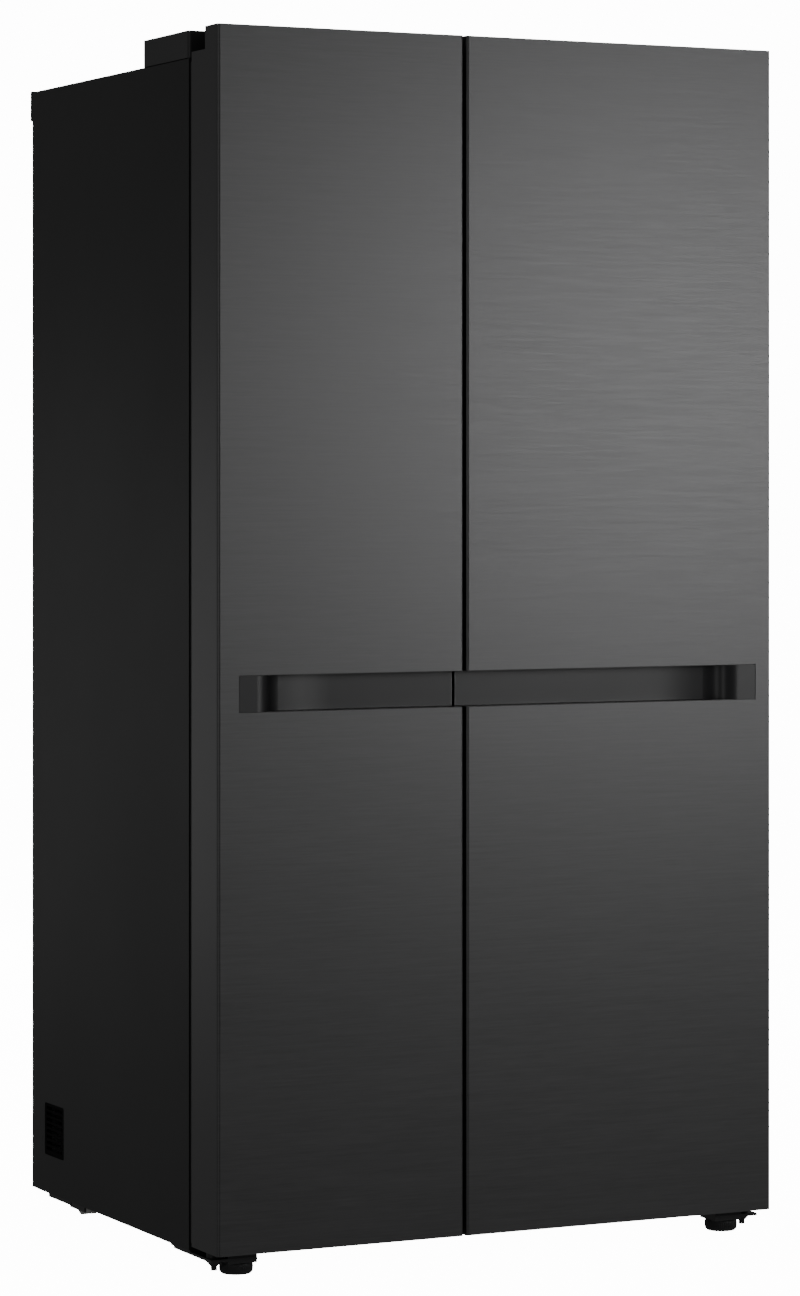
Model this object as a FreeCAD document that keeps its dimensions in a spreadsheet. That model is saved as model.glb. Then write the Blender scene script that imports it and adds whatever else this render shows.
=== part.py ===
"""A free-standing side-by-side refrigerator: a tall freezer door on the left and a wider fridge door
on the right, both hung on corner hinges, with one recessed grip channel running across the pair.

Frame: +Z up, the doors face -Y, +X is to the right of someone facing the doors.
Origin: on the floor, under the middle of the overall box. Millimetres throughout.
"""

import FreeCAD, Part
import math
import os
import re
import Sketcher

os.makedirs("parts", exist_ok=True)
doc = FreeCAD.newDocument("Refrigerator")

# ---------------------------------------------------------------- driving dimensions

SIZES = {
    # overall
    "width": 913, "depth": 735, "height": 1790,
    # case: a bent steel shell, foam and two plastic tubs
    "case_drop": 40, "case_low": 28, "rear_proud": 7, "steel": 1.2, "shell_bend": 3,
    "side_wall": 50, "top_wall": 55, "rear_wall": 60, "mullion_wide": 64, "lip": 6,
    "liner": 2.5, "liner_bend": 16, "floor_level": 110,
    "machine_deep": 230, "machine_high": 222, "machine_wall": 50,
    # doors
    "door_low": 35, "door_deep": 97, "door_gap": 7, "freezer_door_wide": 392, "seam": 5,
    "skin_bend": 4, "skin_return": 14, "fit": 0.2, "cap_deep": 32, "cap_wall": 4,
    "fascia_deep": 45.5, "notch_wide": 75, "notch_drop": 33, "hinge_block": 36,
    "dyke_play": 10, "dyke_wide": 20, "dyke_reach": 30, "dyke_bend": 16,
    "gasket_near": 10, "gasket_wide": 16, "gasket_play": 0.3,
    # grip channel
    "grip_low": 808, "grip_high": 861.5, "grip_deep": 39, "grip_wall": 2.5, "grip_sink": 0.6,
    "grip_gap": 0.8, "grip_plate": 29, "grip_crown": 28, "grip_turn": 60, "grip_lead": 12, "grip_tail": 400,
    "grip_under": 10, "grip_lip": 12, "freezer_grip_margin": 33, "fridge_grip_margin": 26,
    # hinges
    "hinge_inset": 18, "hinge_setback": 55, "pin_radius": 5, "pin_long": 28, "running": 0.05,
    "hinge_plate": 3, "hinge_arm": 8.5, "hinge_turn": 55, "hinge_reach": 70, "hinge_wide": 60,
    "cover_high": 39.5, "cover_long": 172, "cover_wide": 150, "cover_wall": 2, "nose_thick": 9,
    "lower_plate": 4, "cam_radius": 11, "boss_radius": 13, "boss_deep": 9,
    "bolt_radius": 4.6, "bolt_drop": 14.5, "shoe_near": 31, "shoe_far": 76.5,
    # feet and rollers
    "foot_inset": 53.6, "foot_setback": 57, "foot_radius": 24, "foot_high": 16,
    "stud_radius": 4, "frame_deep": 71, "frame_thick": 3,
    "roller_radius": 20, "roller_wide": 22, "roller_inset": 34, "roller_setback": 130,
    "axle_radius": 4, "tray_skirt": 9,
    # inside
    "freezer_shelf": 186, "fridge_shelf": 178, "second_shelf": 480, "shelf_pitch": 280,
    "freezer_bin": 100, "freezer_bin_pitch": 330, "fridge_bin": 60, "fridge_bin_pitch": 270,
    "shelf_setback": 112, "shelf_thick": 4, "shelf_play": 3, "rail": 8, "trim_high": 14,
    "trim_deep": 16, "bin_reach": 95, "bin_wall": 2.5, "bin_high": 95, "bin_bend": 18,
    "bin_play": 1, "drawer_wall": 2.5, "drawer_play": 18, "drawer_bend": 14,
    "evap_gap": 56, "duct_wide": 190, "duct_deep": 28,
}

sheet = doc.addObject("Spreadsheet::Sheet", "Dims")
for row, (alias, number) in enumerate(SIZES.items(), 1):
    sheet.set(f"A{row}", alias.replace("_", " "))
    sheet.set(f"B{row}", str(number))
    sheet.setAlias(f"B{row}", alias)
doc.recompute()

# Places that follow from the sizes. Each is a formula over the sheet's cells and earlier places.
PLACES = {
    "left": "-width / 2",
    "case_top": "height - case_drop",
    "right": "width / 2",
    "front": "-depth / 2",
    "back": "depth / 2",
    "door_back": "front + door_deep",
    "case_front": "door_back + door_gap",
    "case_back": "back - rear_proud",
    "seam_x": "left + freezer_door_wide + seam / 2",
    "fridge_door_wide": "width - freezer_door_wide - seam",
    "ceiling": "case_top - top_wall",
    "inner_back": "case_back - rear_wall",
    "machine_front": "case_back - machine_deep",
    "machine_roof": "case_low + machine_high",
    "step_y": "machine_front - machine_wall",
    "step_z": "machine_roof + machine_wall",
    "freezer_far": "freezer_door_wide + seam / 2 - mullion_wide / 2",
    "fridge_far": "fridge_door_wide + seam / 2 - mullion_wide / 2",
    "axis_y": "front + hinge_setback",
    "notch_floor": "height - notch_drop",
    "shelf_front": "case_front + shelf_setback",
    "grip_back": "front + grip_deep",
    "dyke_low": "floor_level + dyke_play",
    "dyke_high": "ceiling - dyke_play",
    "sill_top": "floor_level - lip",
    "foot_y": "front + foot_setback",
    "frame_low": "case_low - frame_thick",
    "lower_low": "frame_low - lower_plate",
    "roller_y": "back - roller_setback",
    "evap_front": "inner_back - evap_gap",
    "duct_front": "inner_back - duct_deep",
}


def spell(text):
    """Text as FreeCAD reads it: places become their formulas, and size names become sheet cells."""

    def word(found):
        name = found.group(0)
        if name in PLACES:
            return f"({spell(PLACES[name])})"
        return f"Dims.{name}" if name in SIZES else name

    return re.sub(r"[a-z_]+", word, str(text))


def size(text):
    """The present value of a formula, in millimetres."""
    return float(sheet.evalExpression(spell(text)))


def bind(thing, **formulas):
    """Ties properties of a document object to formulas over the sheet."""
    for name, text in formulas.items():
        thing.setExpression(name, spell(text))


def place(thing, x="0", y="0", z="0"):
    """Ties where an object stands to formulas."""
    for axis, text in (("x", x), ("y", y), ("z", z)):
        thing.setExpression(f"Placement.Base.{axis}", spell(text))


# ---------------------------------------------------------------- simple solids


def box(x, y, z):
    """A block between two formulas along each axis."""
    made = doc.addObject("Part::Box", "Block")
    bind(made, Length=f"({x[1]}) - ({x[0]})", Width=f"({y[1]}) - ({y[0]})", Height=f"({z[1]}) - ({z[0]})")
    place(made, x[0], y[0], z[0])
    return made


TURNS = {"z": ((0, 0, 1), 0), "x": ((0, 1, 0), 90), "y": ((1, 0, 0), -90)}


def aimed(thing, along):
    """Turns a solid that is made standing along Z so that it lies along another axis."""
    about, angle = TURNS[along]
    thing.Placement.Rotation = FreeCAD.Rotation(FreeCAD.Vector(*about), angle)


def rod(x, y, z, radius, long, along="z"):
    """A cylinder from a point, along an axis."""
    made = doc.addObject("Part::Cylinder", "Rod")
    aimed(made, along)
    bind(made, Radius=radius, Height=long)
    place(made, x, y, z)
    return made


def cone(x, y, z, radius, top_radius, long, along="z"):
    """A cone frustum from a point, along an axis."""
    made = doc.addObject("Part::Cone", "Cone")
    aimed(made, along)
    bind(made, Radius1=radius, Radius2=top_radius, Height=long)
    place(made, x, y, z)
    return made


def slots(first, pitch, count, wide, y, z):
    """A row of blocks to cut slots with: the first X, the pitch, how many and how wide."""
    return [box((f"{first} + {n * pitch}", f"{first} + {n * pitch + wide}"), y, z) for n in range(count)]


def fuse(*pieces):
    made = doc.addObject("Part::MultiFuse", "Joined")
    made.Shapes = list(pieces)
    return made


def cut(base, *tools):
    made = doc.addObject("Part::Cut", "Trimmed")
    made.Base = base
    made.Tool = tools[0] if len(tools) == 1 else fuse(*tools)
    return made


# ---------------------------------------------------------------- bodies made from sketches

PLANES = {"z": "XY_Plane", "y": "XZ_Plane", "x": "YZ_Plane"}
cuts = []


def body(name):
    made = doc.addObject("PartDesign::Body", "Body_" + name)
    made.Label = "body " + name
    return made


def toward(here, there):
    """The unit step, along one axis, from a corner to the next one."""
    du, dv = there[0] - here[0], there[1] - here[1]
    return (math.copysign(1, du), 0) if abs(du) > abs(dv) else (0, math.copysign(1, dv))


def shifted(corner, step):
    """Formulas of the point one corner radius away from a corner."""
    u, v, radius = corner

    def moved(text, sign):
        return f"({text}) {'+' if sign > 0 else '-'} ({radius})" if sign else text

    return moved(u, step[0]), moved(v, step[1])


def pin_down(sketch, edge, end, u, v):
    """Ties one end of a sketch edge to formulas for its two coordinates."""
    for kind, text in (("DistanceX", u), ("DistanceY", v)):
        number = sketch.addConstraint(Sketcher.Constraint(kind, -1, 1, edge, end, size(text)))
        sketch.setExpression(f"Constraints[{number}]", spell(text))


def draw(sketch, corners):
    """A closed outline in a sketch. A corner is (u, v) or, between square sides, (u, v, radius)."""
    at = [(size(c[0]), size(c[1])) for c in corners]
    count = len(corners)
    ends = []
    for n, corner in enumerate(corners):
        if len(corner) == 2:
            ends.append((corner, corner))
        else:
            before, after = toward(at[n], at[n - 1]), toward(at[n], at[(n + 1) % count])
            ends.append((shifted(corner, before), shifted(corner, after)))
    lines = []
    for n in range(count):
        start, stop = ends[n][1], ends[(n + 1) % count][0]
        points = [FreeCAD.Vector(size(p[0]), size(p[1]), 0) for p in (start, stop)]
        lines.append(sketch.addGeometry(Part.LineSegment(*points), False))
        pin_down(sketch, lines[-1], 1, *start)
    for n, corner in enumerate(corners):
        into, out = lines[n - 1], lines[n]
        if len(corner) == 2:
            sketch.addConstraint(Sketcher.Constraint("Coincident", into, 2, out, 1))
            continue
        pin_down(sketch, into, 2, *ends[n][0])
        first, last = (FreeCAD.Vector(size(p[0]), size(p[1]), 0) for p in ends[n])
        centre = first + last - FreeCAD.Vector(*at[n], 0)
        left_turn = (first - centre).cross(last - centre).z > 0
        near, far = (1, 2) if left_turn else (2, 1)
        start, stop = (first, last) if left_turn else (last, first)
        circle = Part.Circle(centre, FreeCAD.Vector(0, 0, 1), size(corner[2]))
        begin = math.atan2(start.y - centre.y, start.x - centre.x)
        sweep = (start - centre).getAngle(stop - centre)
        arc = sketch.addGeometry(Part.ArcOfCircle(circle, begin, begin + sweep), False)
        sketch.addConstraint(Sketcher.Constraint("Coincident", arc, near, into, 2))
        sketch.addConstraint(Sketcher.Constraint("Coincident", arc, far, out, 1))
        number = sketch.addConstraint(Sketcher.Constraint("Radius", arc, size(corner[2])))
        sketch.setExpression(f"Constraints[{number}]", spell(corner[2]))


def sketch_on(owner, along, loops, low, high):
    """A sketch square to an axis, at the low end of a pad along it (the high end along Y)."""
    made = owner.newObject("Sketcher::SketchObject", "Outline")
    plane = next(f for f in owner.Origin.OriginFeatures if f.Role == PLANES[along])
    made.AttachmentSupport = [(plane, "")]
    made.MapMode = "FlatFace"
    made.setExpression("AttachmentOffset.Base.z", spell(f"-({high})" if along == "y" else low))
    for loop in loops:
        draw(made, loop)
    return made


def pad(owner, along, low, high, *loops):
    """Adds material with these outlines between two places along an axis."""
    outline = sketch_on(owner, along, loops, low, high)
    made = owner.newObject("PartDesign::Pad", "Pad")
    made.Profile = outline
    bind(made, Length=f"({high}) - ({low})")
    return made


def pocket(owner, along, low, high, *loops):
    """Takes material away with these outlines between two places along an axis."""
    outline = sketch_on(owner, along, loops, low, high)
    made = owner.newObject("PartDesign::Pocket", "Pocket")
    made.Profile = outline
    made.Reversed = True
    bind(made, Length=f"({high}) - ({low})")
    cuts.append((owner, made))
    return made


def rectangle(u, v, radius=None):
    """Corners of a rectangle between two formulas each way, rounded where a radius is given."""
    corners = [(u[0], v[0]), (u[1], v[0]), (u[1], v[1]), (u[0], v[1])]
    return [(*c, radius) for c in corners] if radius else corners


# ---------------------------------------------------------------- naming the sub-parts

nodes = {}


def node(name, *pieces):
    """Names a sub-part. Several pieces become one group of separate solids."""
    if len(pieces) == 1:
        made = pieces[0]
    else:
        made = doc.addObject("Part::Compound", "Group")
        made.Links = list(pieces)
    made.Label = name
    nodes[name] = made
    return made


class Side:
    """One half of the refrigerator. Distances run from its outer side wall towards the seam."""

    def __init__(self, name, edge, sign, wide, far, grip_margin):
        self.name, self.edge, self.sign = name, edge, sign
        self.wide, self.far, self.grip_margin = wide, far, grip_margin

    def x(self, distance):
        return f"{self.edge} {self.sign} ({distance})"

    def span(self, near, far):
        """The X range, low first, between two distances from the outer side."""
        ends = self.x(near), self.x(far)
        return ends if self.sign == "+" else ends[::-1]


FREEZER = Side("freezer", "left", "+", "freezer_door_wide", "freezer_far", "freezer_grip_margin")
FRIDGE = Side("fridge", "right", "-", "fridge_door_wide", "fridge_far", "fridge_grip_margin")
SIDES = (FREEZER, FRIDGE)

# ---------------------------------------------------------------- case


def outer_shell():
    """One sheet bent over the sides and top, with a return flange all round its front edge."""
    made = body("outer_shell")
    flange_side, flange_top = "side_wall - lip", "top_wall - lip"

    def arch(side, top, bend):
        return [
            (f"left + {side}", "case_low"), (f"left + {side}", f"case_top - {top}", bend),
            (f"right - {side}", f"case_top - {top}", bend), (f"right - {side}", "case_low"),
        ]

    inside = arch("steel", "steel", "shell_bend - steel")
    pad(made, "y", "case_front", "case_back - steel", arch("0", "0", "shell_bend") + inside[::-1])
    window = [
        (f"right - ({flange_side})", "case_low"), (
            f"right - ({flange_side})", f"case_top - ({flange_top})",
        ),
        (
            f"left + ({flange_side})", f"case_top - ({flange_top})",
        ), (f"left + ({flange_side})", "case_low"),
    ]
    pad(made, "y", "case_front", "case_front + steel", arch("0", "0", "shell_bend") + window)
    for side in SIDES:
        low, high = side.span("-steel", "steel * 3")
        pocket(made, "x", low, high, vent_outline("0"))
    return node("outer_shell", made)


def vent_outline(margin):
    """The machine room's side vent: a tall rectangle low down near the back edge, as (y, z)."""
    return rectangle(
        (
            f"front + 593 + {margin}", f"front + 673 - ({margin})",
        ), (f"87 + {margin}", f"168 - ({margin})"), "4"
    )


def back_panel():
    """A flat sheet closing the back above the machine room, with two pressed stiffening beads."""
    made = body("back_panel")
    low, high = "machine_roof", "case_top - steel - fit"
    pad(
        made,
        "y",
        "case_back - steel",
        "case_back",
        rectangle(("left + steel", "right - steel"), (low, high)),
    )
    for x in ("left / 2", "right / 2"):
        bead = rectangle((f"{x} - 15", f"{x} + 15"), ("machine_roof + 120", "case_top - 160"), "12")
        pad(made, "y", "case_back", "case_back + 2", bead)
    return node("back_panel", made)


def bottom_plate():
    """The folded sheet under the case: front sill, floor, and the machine room's front wall and roof."""
    made = body("bottom_plate")
    front, rear = "case_front", "case_back - steel"
    outline = [
        (front, "case_low"), ("machine_front", "case_low"), ("machine_front", "machine_roof - steel"),
        (rear, "machine_roof - steel"), (rear, "machine_roof"), ("machine_front - steel", "machine_roof"),
        ("machine_front - steel", "case_low + steel"), (f"{front} + steel", "case_low + steel"),
        (f"{front} + steel", "sill_top"), (front, "sill_top"),
    ]
    pad(made, "x", "left + steel", "right - steel", outline)
    for side in SIDES:
        ends = rectangle(side.span("0", "side_wall - lip"), ("case_low", "sill_top + 1"))
        pocket(made, "y", front, f"{front} + steel", ends)
    return node("bottom_plate", made)


def liner(side, shelves):
    """A vacuum-formed tub, open at the front, with a raised step over the machine room and rails."""
    made = body(side.name + "_liner")
    near, far = "side_wall", side.far
    inner, outer = side.span(near, far), side.span(f"{near} - liner", f"{far} + liner")
    back, step = "inner_back", "step_y"

    def upper(x, z_low, z_high, bend):
        return [(x[0], z_low), (x[1], z_low), (x[1], z_high, bend), (x[0], z_high, bend)]

    def lower(x, z_low, z_high, bend):
        return [(x[0], z_low, bend), (x[1], z_low, bend), (x[1], z_high), (x[0], z_high)]

    pad(
        made,
        "y",
        "case_front",
        f"{back} + liner",
        upper(outer, "step_z - liner", "ceiling + liner", "liner_bend"),
    )
    pad(
        made,
        "y",
        "case_front",
        f"{step} + liner",
        lower(outer, "floor_level - liner", "step_z", "liner_bend"),
    )
    lips = side.span(f"{near} - lip", f"{far} + lip")
    pad(made, "y", "case_front", "case_front + liner", rectangle(lips, ("sill_top", "ceiling + lip")))
    mouth = "case_front - 1"
    pocket(made, "y", mouth, back, upper(inner, "step_z", "ceiling", "liner_bend - liner"))
    pocket(made, "y", mouth, step, lower(inner, "floor_level", "step_z + 1", "liner_bend - liner"))
    for low in shelves:
        for x in (
            side.span(f"{near} - liner / 2", f"{near} + rail"),
            side.span(f"{far} - rail", f"{far} + liner / 2"),
        ):
            pad(made, "y", "shelf_front", shelf_rear(side), rectangle(x, (f"{low} - rail", low)))
    return node(side.name + "_liner", made)


def shelf_rear(side):
    """How far back shelves reach: to the evaporator cover, or to the air duct."""
    return "evap_front - 8" if side is FREEZER else "duct_front - 6"


def insulation_foam():
    """Foam injected between the shell and the tubs, hardened into one rigid block."""
    made = body("insulation_foam")
    front, rear = "case_front + liner + fit", "case_back - steel - fit"
    low, edge = "case_low + steel + fit", "steel + fit"
    outline = [
        (f"left + {edge}", low), (f"left + {edge}", f"case_top - ({edge})", "shell_bend"),
        (f"right - ({edge})", f"case_top - ({edge})", "shell_bend"), (f"right - ({edge})", low),
    ]
    pad(made, "y", front, rear, outline)
    room = rectangle((f"machine_front - ({edge})", f"{rear} + 1"), ("case_low", "machine_roof + fit"))
    pocket(made, "x", "left", "right", room)
    gap = "liner + fit"
    for side in SIDES:
        x = side.span(f"side_wall - ({gap})", f"{side.far} + {gap}")
        pocket(
            made,
            "y",
            "case_front",
            f"inner_back + {gap}",
            rectangle(x, (f"step_z - ({gap})", f"ceiling + {gap}")),
        )
        pocket(
            made, "y", "case_front", f"step_y + {gap}", rectangle(x, (f"floor_level - ({gap})", "step_z")),
        )
    return node("insulation_foam", made)


def mullion_cover():
    """The warm steel strip down the front of the wall between the two compartments."""
    half = "mullion_wide / 2 - lip"
    x = (f"seam_x - ({half})", f"seam_x + {half}")
    return node(
        "mullion_cover", box(x, ("case_front", "case_front + steel"), ("sill_top", "ceiling + lip")),
    )


def rear_spacers():
    """A moulded rail along the top rear edge whose two end pads keep the case off the wall."""
    rail = box(("left", "right"), ("case_back", "case_back + 3"), ("case_top - 46", "case_top + 1"))
    pads = [
        box(side.span("0", "34"), ("case_back", "back"), ("case_top - 46", "case_top + 1"))
        for side in SIDES
    ]
    return node("rear_spacers", fuse(rail, *pads))


def side_vents():
    """Louvred plastic grilles pressed into the machine room's two side openings."""
    made = []
    for side in SIDES:
        grille = body(side.name + "_vent")
        low, high = side.span("steel / 4", "10")
        pad(grille, "x", low, high, vent_outline("fit"))
        inner = side.span("steel * 1.5", "11")
        pocket(grille, "x", *inner, rectangle(("front + 597", "front + 669"), ("91", "164")))
        louvres = [
            rectangle(("front + 600", "front + 666"), (f"{z}", f"{z + 5}"))
            for z in range(95, 160, 9)
        ]
        pocket(grille, "x", *side.span("0", "3"), *louvres)
        made.append(grille)
    return node("side_vents", *made)


# ---------------------------------------------------------------- base, feet and rollers


def base_frame():
    """The pressed cross-member under the front of the case that carries the lower hinges."""
    made = body("base_frame")
    deep = "case_front + frame_deep"
    outline = [
        ("case_front", "frame_low"), (deep, "frame_low"), (deep, "case_low"), ("case_front", "case_low"),
    ]
    pad(made, "x", "left + 2", "right - 2", outline)
    return node("base_frame", made)


def lower_hinge(side):
    """A plate bolted under the cross-member, with the door's lower pin, closing cam and bolt end.

    A cast block on the plate holds the stud of the levelling foot.
    """
    x, y = side.x("hinge_inset"), "axis_y"
    foot_x = side.x("foot_inset")
    plate = box(
        side.span("4", "shoe_far"),
        ("foot_y - 24", "case_front + frame_deep - 6"),
        ("lower_low", "frame_low"),
    )
    shoe = box(
        side.span("shoe_near", "shoe_far"),
        ("foot_y - 23", "foot_y + 23"),
        ("foot_high + 0.8", "door_low - 1.5"),
    )
    pin = rod(x, y, "frame_low", "pin_radius", "door_low + pin_long - frame_low")
    cam = rod(x, y, "frame_low", "cam_radius", "door_low - frame_low - fit * 2")
    boss = cone(x, y, "lower_low - boss_deep", "bolt_radius", "boss_radius", "boss_deep")
    bolt = rod(x, y, "lower_low - bolt_drop", "bolt_radius", "bolt_drop")
    foot_hole = rod(foot_x, "foot_y", "foot_high", "stud_radius + running", "door_low")
    return cut(fuse(plate, shoe, pin, cam, boss, bolt), foot_hole)


def levelling_foot(side):
    """A moulded disc with a chamfered toe on a threaded stud, screwed up into the hinge's block."""
    x, y = side.x("foot_inset"), "foot_y"
    toe = cone(x, y, "0", "foot_radius - 3", "foot_radius", "3")
    disc = rod(x, y, "3", "foot_radius", "foot_high - 3")
    stud = rod(x, y, "foot_high - 1", "stud_radius", "door_low - foot_high - 1")
    return node(f"levelling_foot_{side.edge}", fuse(toe, disc, stud))


def rear_roller(side):
    """A plastic roller, turning on an axle in the machine base."""
    low, high = side.span("roller_inset", "roller_inset + roller_wide")
    wide = f"({high}) - ({low})"
    wheel = rod(low, "roller_y", "roller_radius", "roller_radius", wide, "x")
    bore = rod(f"({low}) - 1", "roller_y", "roller_radius", "axle_radius + running", f"{wide} + 2", "x")
    groove_low, groove_high = side.span(
        "roller_inset + roller_wide / 2 - 2", "roller_inset + roller_wide / 2 + 2",
    )
    ring = cut(
        rod(
            groove_low, "roller_y", "roller_radius", "roller_radius + 1",
            f"({groove_high}) - ({groove_low})", "x",
        ),
        rod(
            f"({groove_low}) - 1",
            "roller_y",
            "roller_radius",
            "roller_radius - 2",
            f"({groove_high}) - ({groove_low}) + 2",
            "x",
        ),
    )
    return node(f"rear_roller_{side.edge}", cut(wheel, bore, ring))


def machine_base():
    """The steel tray that carries the compressor, with a fork and an axle for each rear roller."""
    tray_low, tray_high = "case_low - 4", "case_low - 2"
    y = ("roller_y - 78", "case_back - 4")
    parts = [box(("left + 8", "right - 8"), y, (tray_low, tray_high))]
    wells = []
    for side in SIDES:
        skirt_y = ("roller_y - 20", "roller_y + 72")
        parts.append(box(side.span("8", "10"), skirt_y, ("case_low - tray_skirt", tray_high)))
        wells.append(
            box(
                side.span("roller_inset - 4", "roller_inset + roller_wide + 4"),
                ("roller_y - 24", "roller_y + 24"),
                ("0", "case_low"),
            )
        )
        for near, far in (
            ("roller_inset - 7", "roller_inset - 4"),
            ("roller_inset + roller_wide + 4", "roller_inset + roller_wide + 7"),
        ):
            parts.append(
                box(side.span(near, far), ("roller_y - 30", "roller_y + 30"), ("8", "case_low + 18"))
            )
    plate = cut(parts[0], *wells)
    axles = []
    for side in SIDES:
        low, high = side.span("roller_inset - 7", "roller_inset + roller_wide + 7")
        axles.append(rod(low, "roller_y", "roller_radius", "axle_radius", f"({high}) - ({low})", "x"))
    return node("machine_base", fuse(plate, *parts[1:], *axles))


# ---------------------------------------------------------------- hinges and covers on top


def swung_strip(side, half, z_low, z_high, far_reach):
    """A strip round the upper hinge axis that leaves it inwards at the hinge turn, then goes straight back.

    Leaving at an angle keeps it clear of the door's upstand when the door is wide open.
    """
    sign = 1 if side.sign == "+" else -1
    turn = math.radians(size("hinge_turn"))
    half_mm = size(half)
    along = (math.cos(turn), math.sin(turn))
    left_of = (-math.sin(turn) * half_mm, math.cos(turn) * half_mm)
    rear = size(far_reach) - size("axis_y")
    inward = (rear - left_of[1]) / along[1]
    outline = [
        left_of,
        (left_of[0] + along[0] * inward, rear),
        (left_of[0] + along[0] * inward + 2.2 * half_mm, rear),
        (size("notch_wide") - size("hinge_inset") - 7, rear * 0.7),
        (size("notch_wide") - size("hinge_inset") - 7, rear * 0.45),
        (-left_of[0], -left_of[1]),
    ]
    origin = FreeCAD.Vector(size(side.x("hinge_inset")), size("axis_y"), size(z_low))
    points = [origin + FreeCAD.Vector(sign * u, v, 0) for u, v in outline]
    face = Part.Face(Part.makePolygon(points + points[:1]))
    tall = size(z_high) - size(z_low)
    round_end = Part.makeCylinder(half_mm, tall, origin)
    return face.extrude(FreeCAD.Vector(0, 0, tall)).fuse(round_end).removeSplitter()


def solid(shape):
    """A document object that holds a shape worked out with Part."""
    made = doc.addObject("Part::Feature", "Solid")
    made.Shape = shape
    return made


def top_hinge(side):
    """A bracket screwed on top of the case, whose arm reaches over the door to its upper pin."""
    arm_low = "notch_floor + 2"
    foot = box(
        side.span("24", "24 + hinge_wide"),
        ("case_front + 4", "case_front + hinge_reach"),
        ("case_top", "case_top + hinge_plate"),
    )
    riser = box(
        side.span("44", "24 + hinge_wide"),
        ("case_front + 4", "case_front + 12"),
        ("case_top", f"{arm_low} + hinge_plate"),
    )
    arm = solid(swung_strip(side, "hinge_arm", arm_low, f"{arm_low} + hinge_plate", "case_front + 12"))
    pin = rod(
        side.x("hinge_inset"), "axis_y", "notch_floor - pin_long", "pin_radius",
        "pin_long + 2 + hinge_plate",
    )
    return fuse(foot, riser, arm, pin)


def hinge_cover(side):
    """The plastic lid over a top hinge, with a thin nose that follows the hinge arm over the door."""
    roof = "case_top + cover_high"
    nose_low = f"{roof} - nose_thick"
    y = ("case_front + 1", "case_front + cover_long")
    shell = body(side.name + "_cover")
    x = side.span("0", "cover_wide")
    pad(shell, "z", "case_top", roof, rectangle(x, y, "5"))
    inside = rectangle(
        side.span("cover_wall", "cover_wide - cover_wall"),
        (f"{y[0]} + cover_wall", f"{y[1]} - cover_wall"),
        "3",
    )
    pocket(shell, "z", "case_top - 1", f"{roof} - cover_wall", inside)
    mouth = rectangle(side.span("36", "notch_wide + 12"), ("case_front", "case_front + 10"))
    pocket(shell, "z", "case_top - 1", nose_low, mouth)
    nose = solid(swung_strip(side, "hinge_arm", nose_low, roof, "case_front + 6"))
    return fuse(shell, nose)


def control_box():
    """The low steel box on top, between the hinge covers, that holds the main circuit board."""
    y = ("case_front + 60", "case_front + 210")
    shell = body("control_box")
    pad(shell, "z", "case_top", "case_top + 26", rectangle(("-120", "120"), y, "4"))
    pocket(
        shell,
        "z",
        "case_top - 1",
        "case_top + 24",
        rectangle(("-118", "118"), (f"{y[0]} + 2", f"{y[1]} - 2"), "2"),
    )
    board = box(("-105", "105"), (f"{y[0]} + 16", f"{y[1]} - 16"), ("case_top + 5", "case_top + 6.6"))
    posts = [rod(x, f"{y[0]} + {d}", "case_top", "3", "5") for x in ("-95", "95") for d in ("26", "124")]
    return node("control_box", shell, fuse(board, *posts))


# ---------------------------------------------------------------- doors


def door_skin(side):
    """Sheet steel wrapped round the front and both edges, with returns at the back."""
    made = body(side.name + "_door_skin")

    def at(distance, y, bend=None):
        return (side.x(distance), y) if bend is None else (side.x(distance), y, bend)

    wide, thin, inner_bend = side.wide, "steel", "skin_bend - steel"
    outline = [
        at("skin_return", "door_back"), at("0", "door_back", "skin_bend"), at("0", "front", "skin_bend"),
        at(wide, "front", "skin_bend"), at(wide, "door_back", "skin_bend"), at(
            f"{wide} - skin_return", "door_back",
        ),
        at(f"{wide} - skin_return", f"door_back - {thin}"), at(
            f"{wide} - {thin}", f"door_back - {thin}", inner_bend,
        ),
        at(f"{wide} - {thin}", f"front + {thin}", inner_bend), at(thin, f"front + {thin}", inner_bend),
        at(thin, f"door_back - {thin}", inner_bend), at("skin_return", f"door_back - {thin}"),
    ]
    pad(made, "z", "door_low", "height", outline)
    notch = rectangle(side.span("-1", "notch_wide"), ("front + fascia_deep", "door_back + 1"))
    pocket(made, "z", "notch_floor", "height + 1", notch)
    mouth = rectangle(side.span(side.grip_margin, f"{wide} + 1"), ("grip_low", "grip_high"))
    pocket(made, "y", "front - 1", "front + skin_bend", mouth)
    seam_end = rectangle(side.span(f"{wide} - skin_bend - 1", f"{wide} + 1"), ("grip_low", "grip_high"))
    pocket(made, "y", "front - 1", "grip_back", seam_end)
    return node(side.name + "_door_skin", made)


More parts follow.
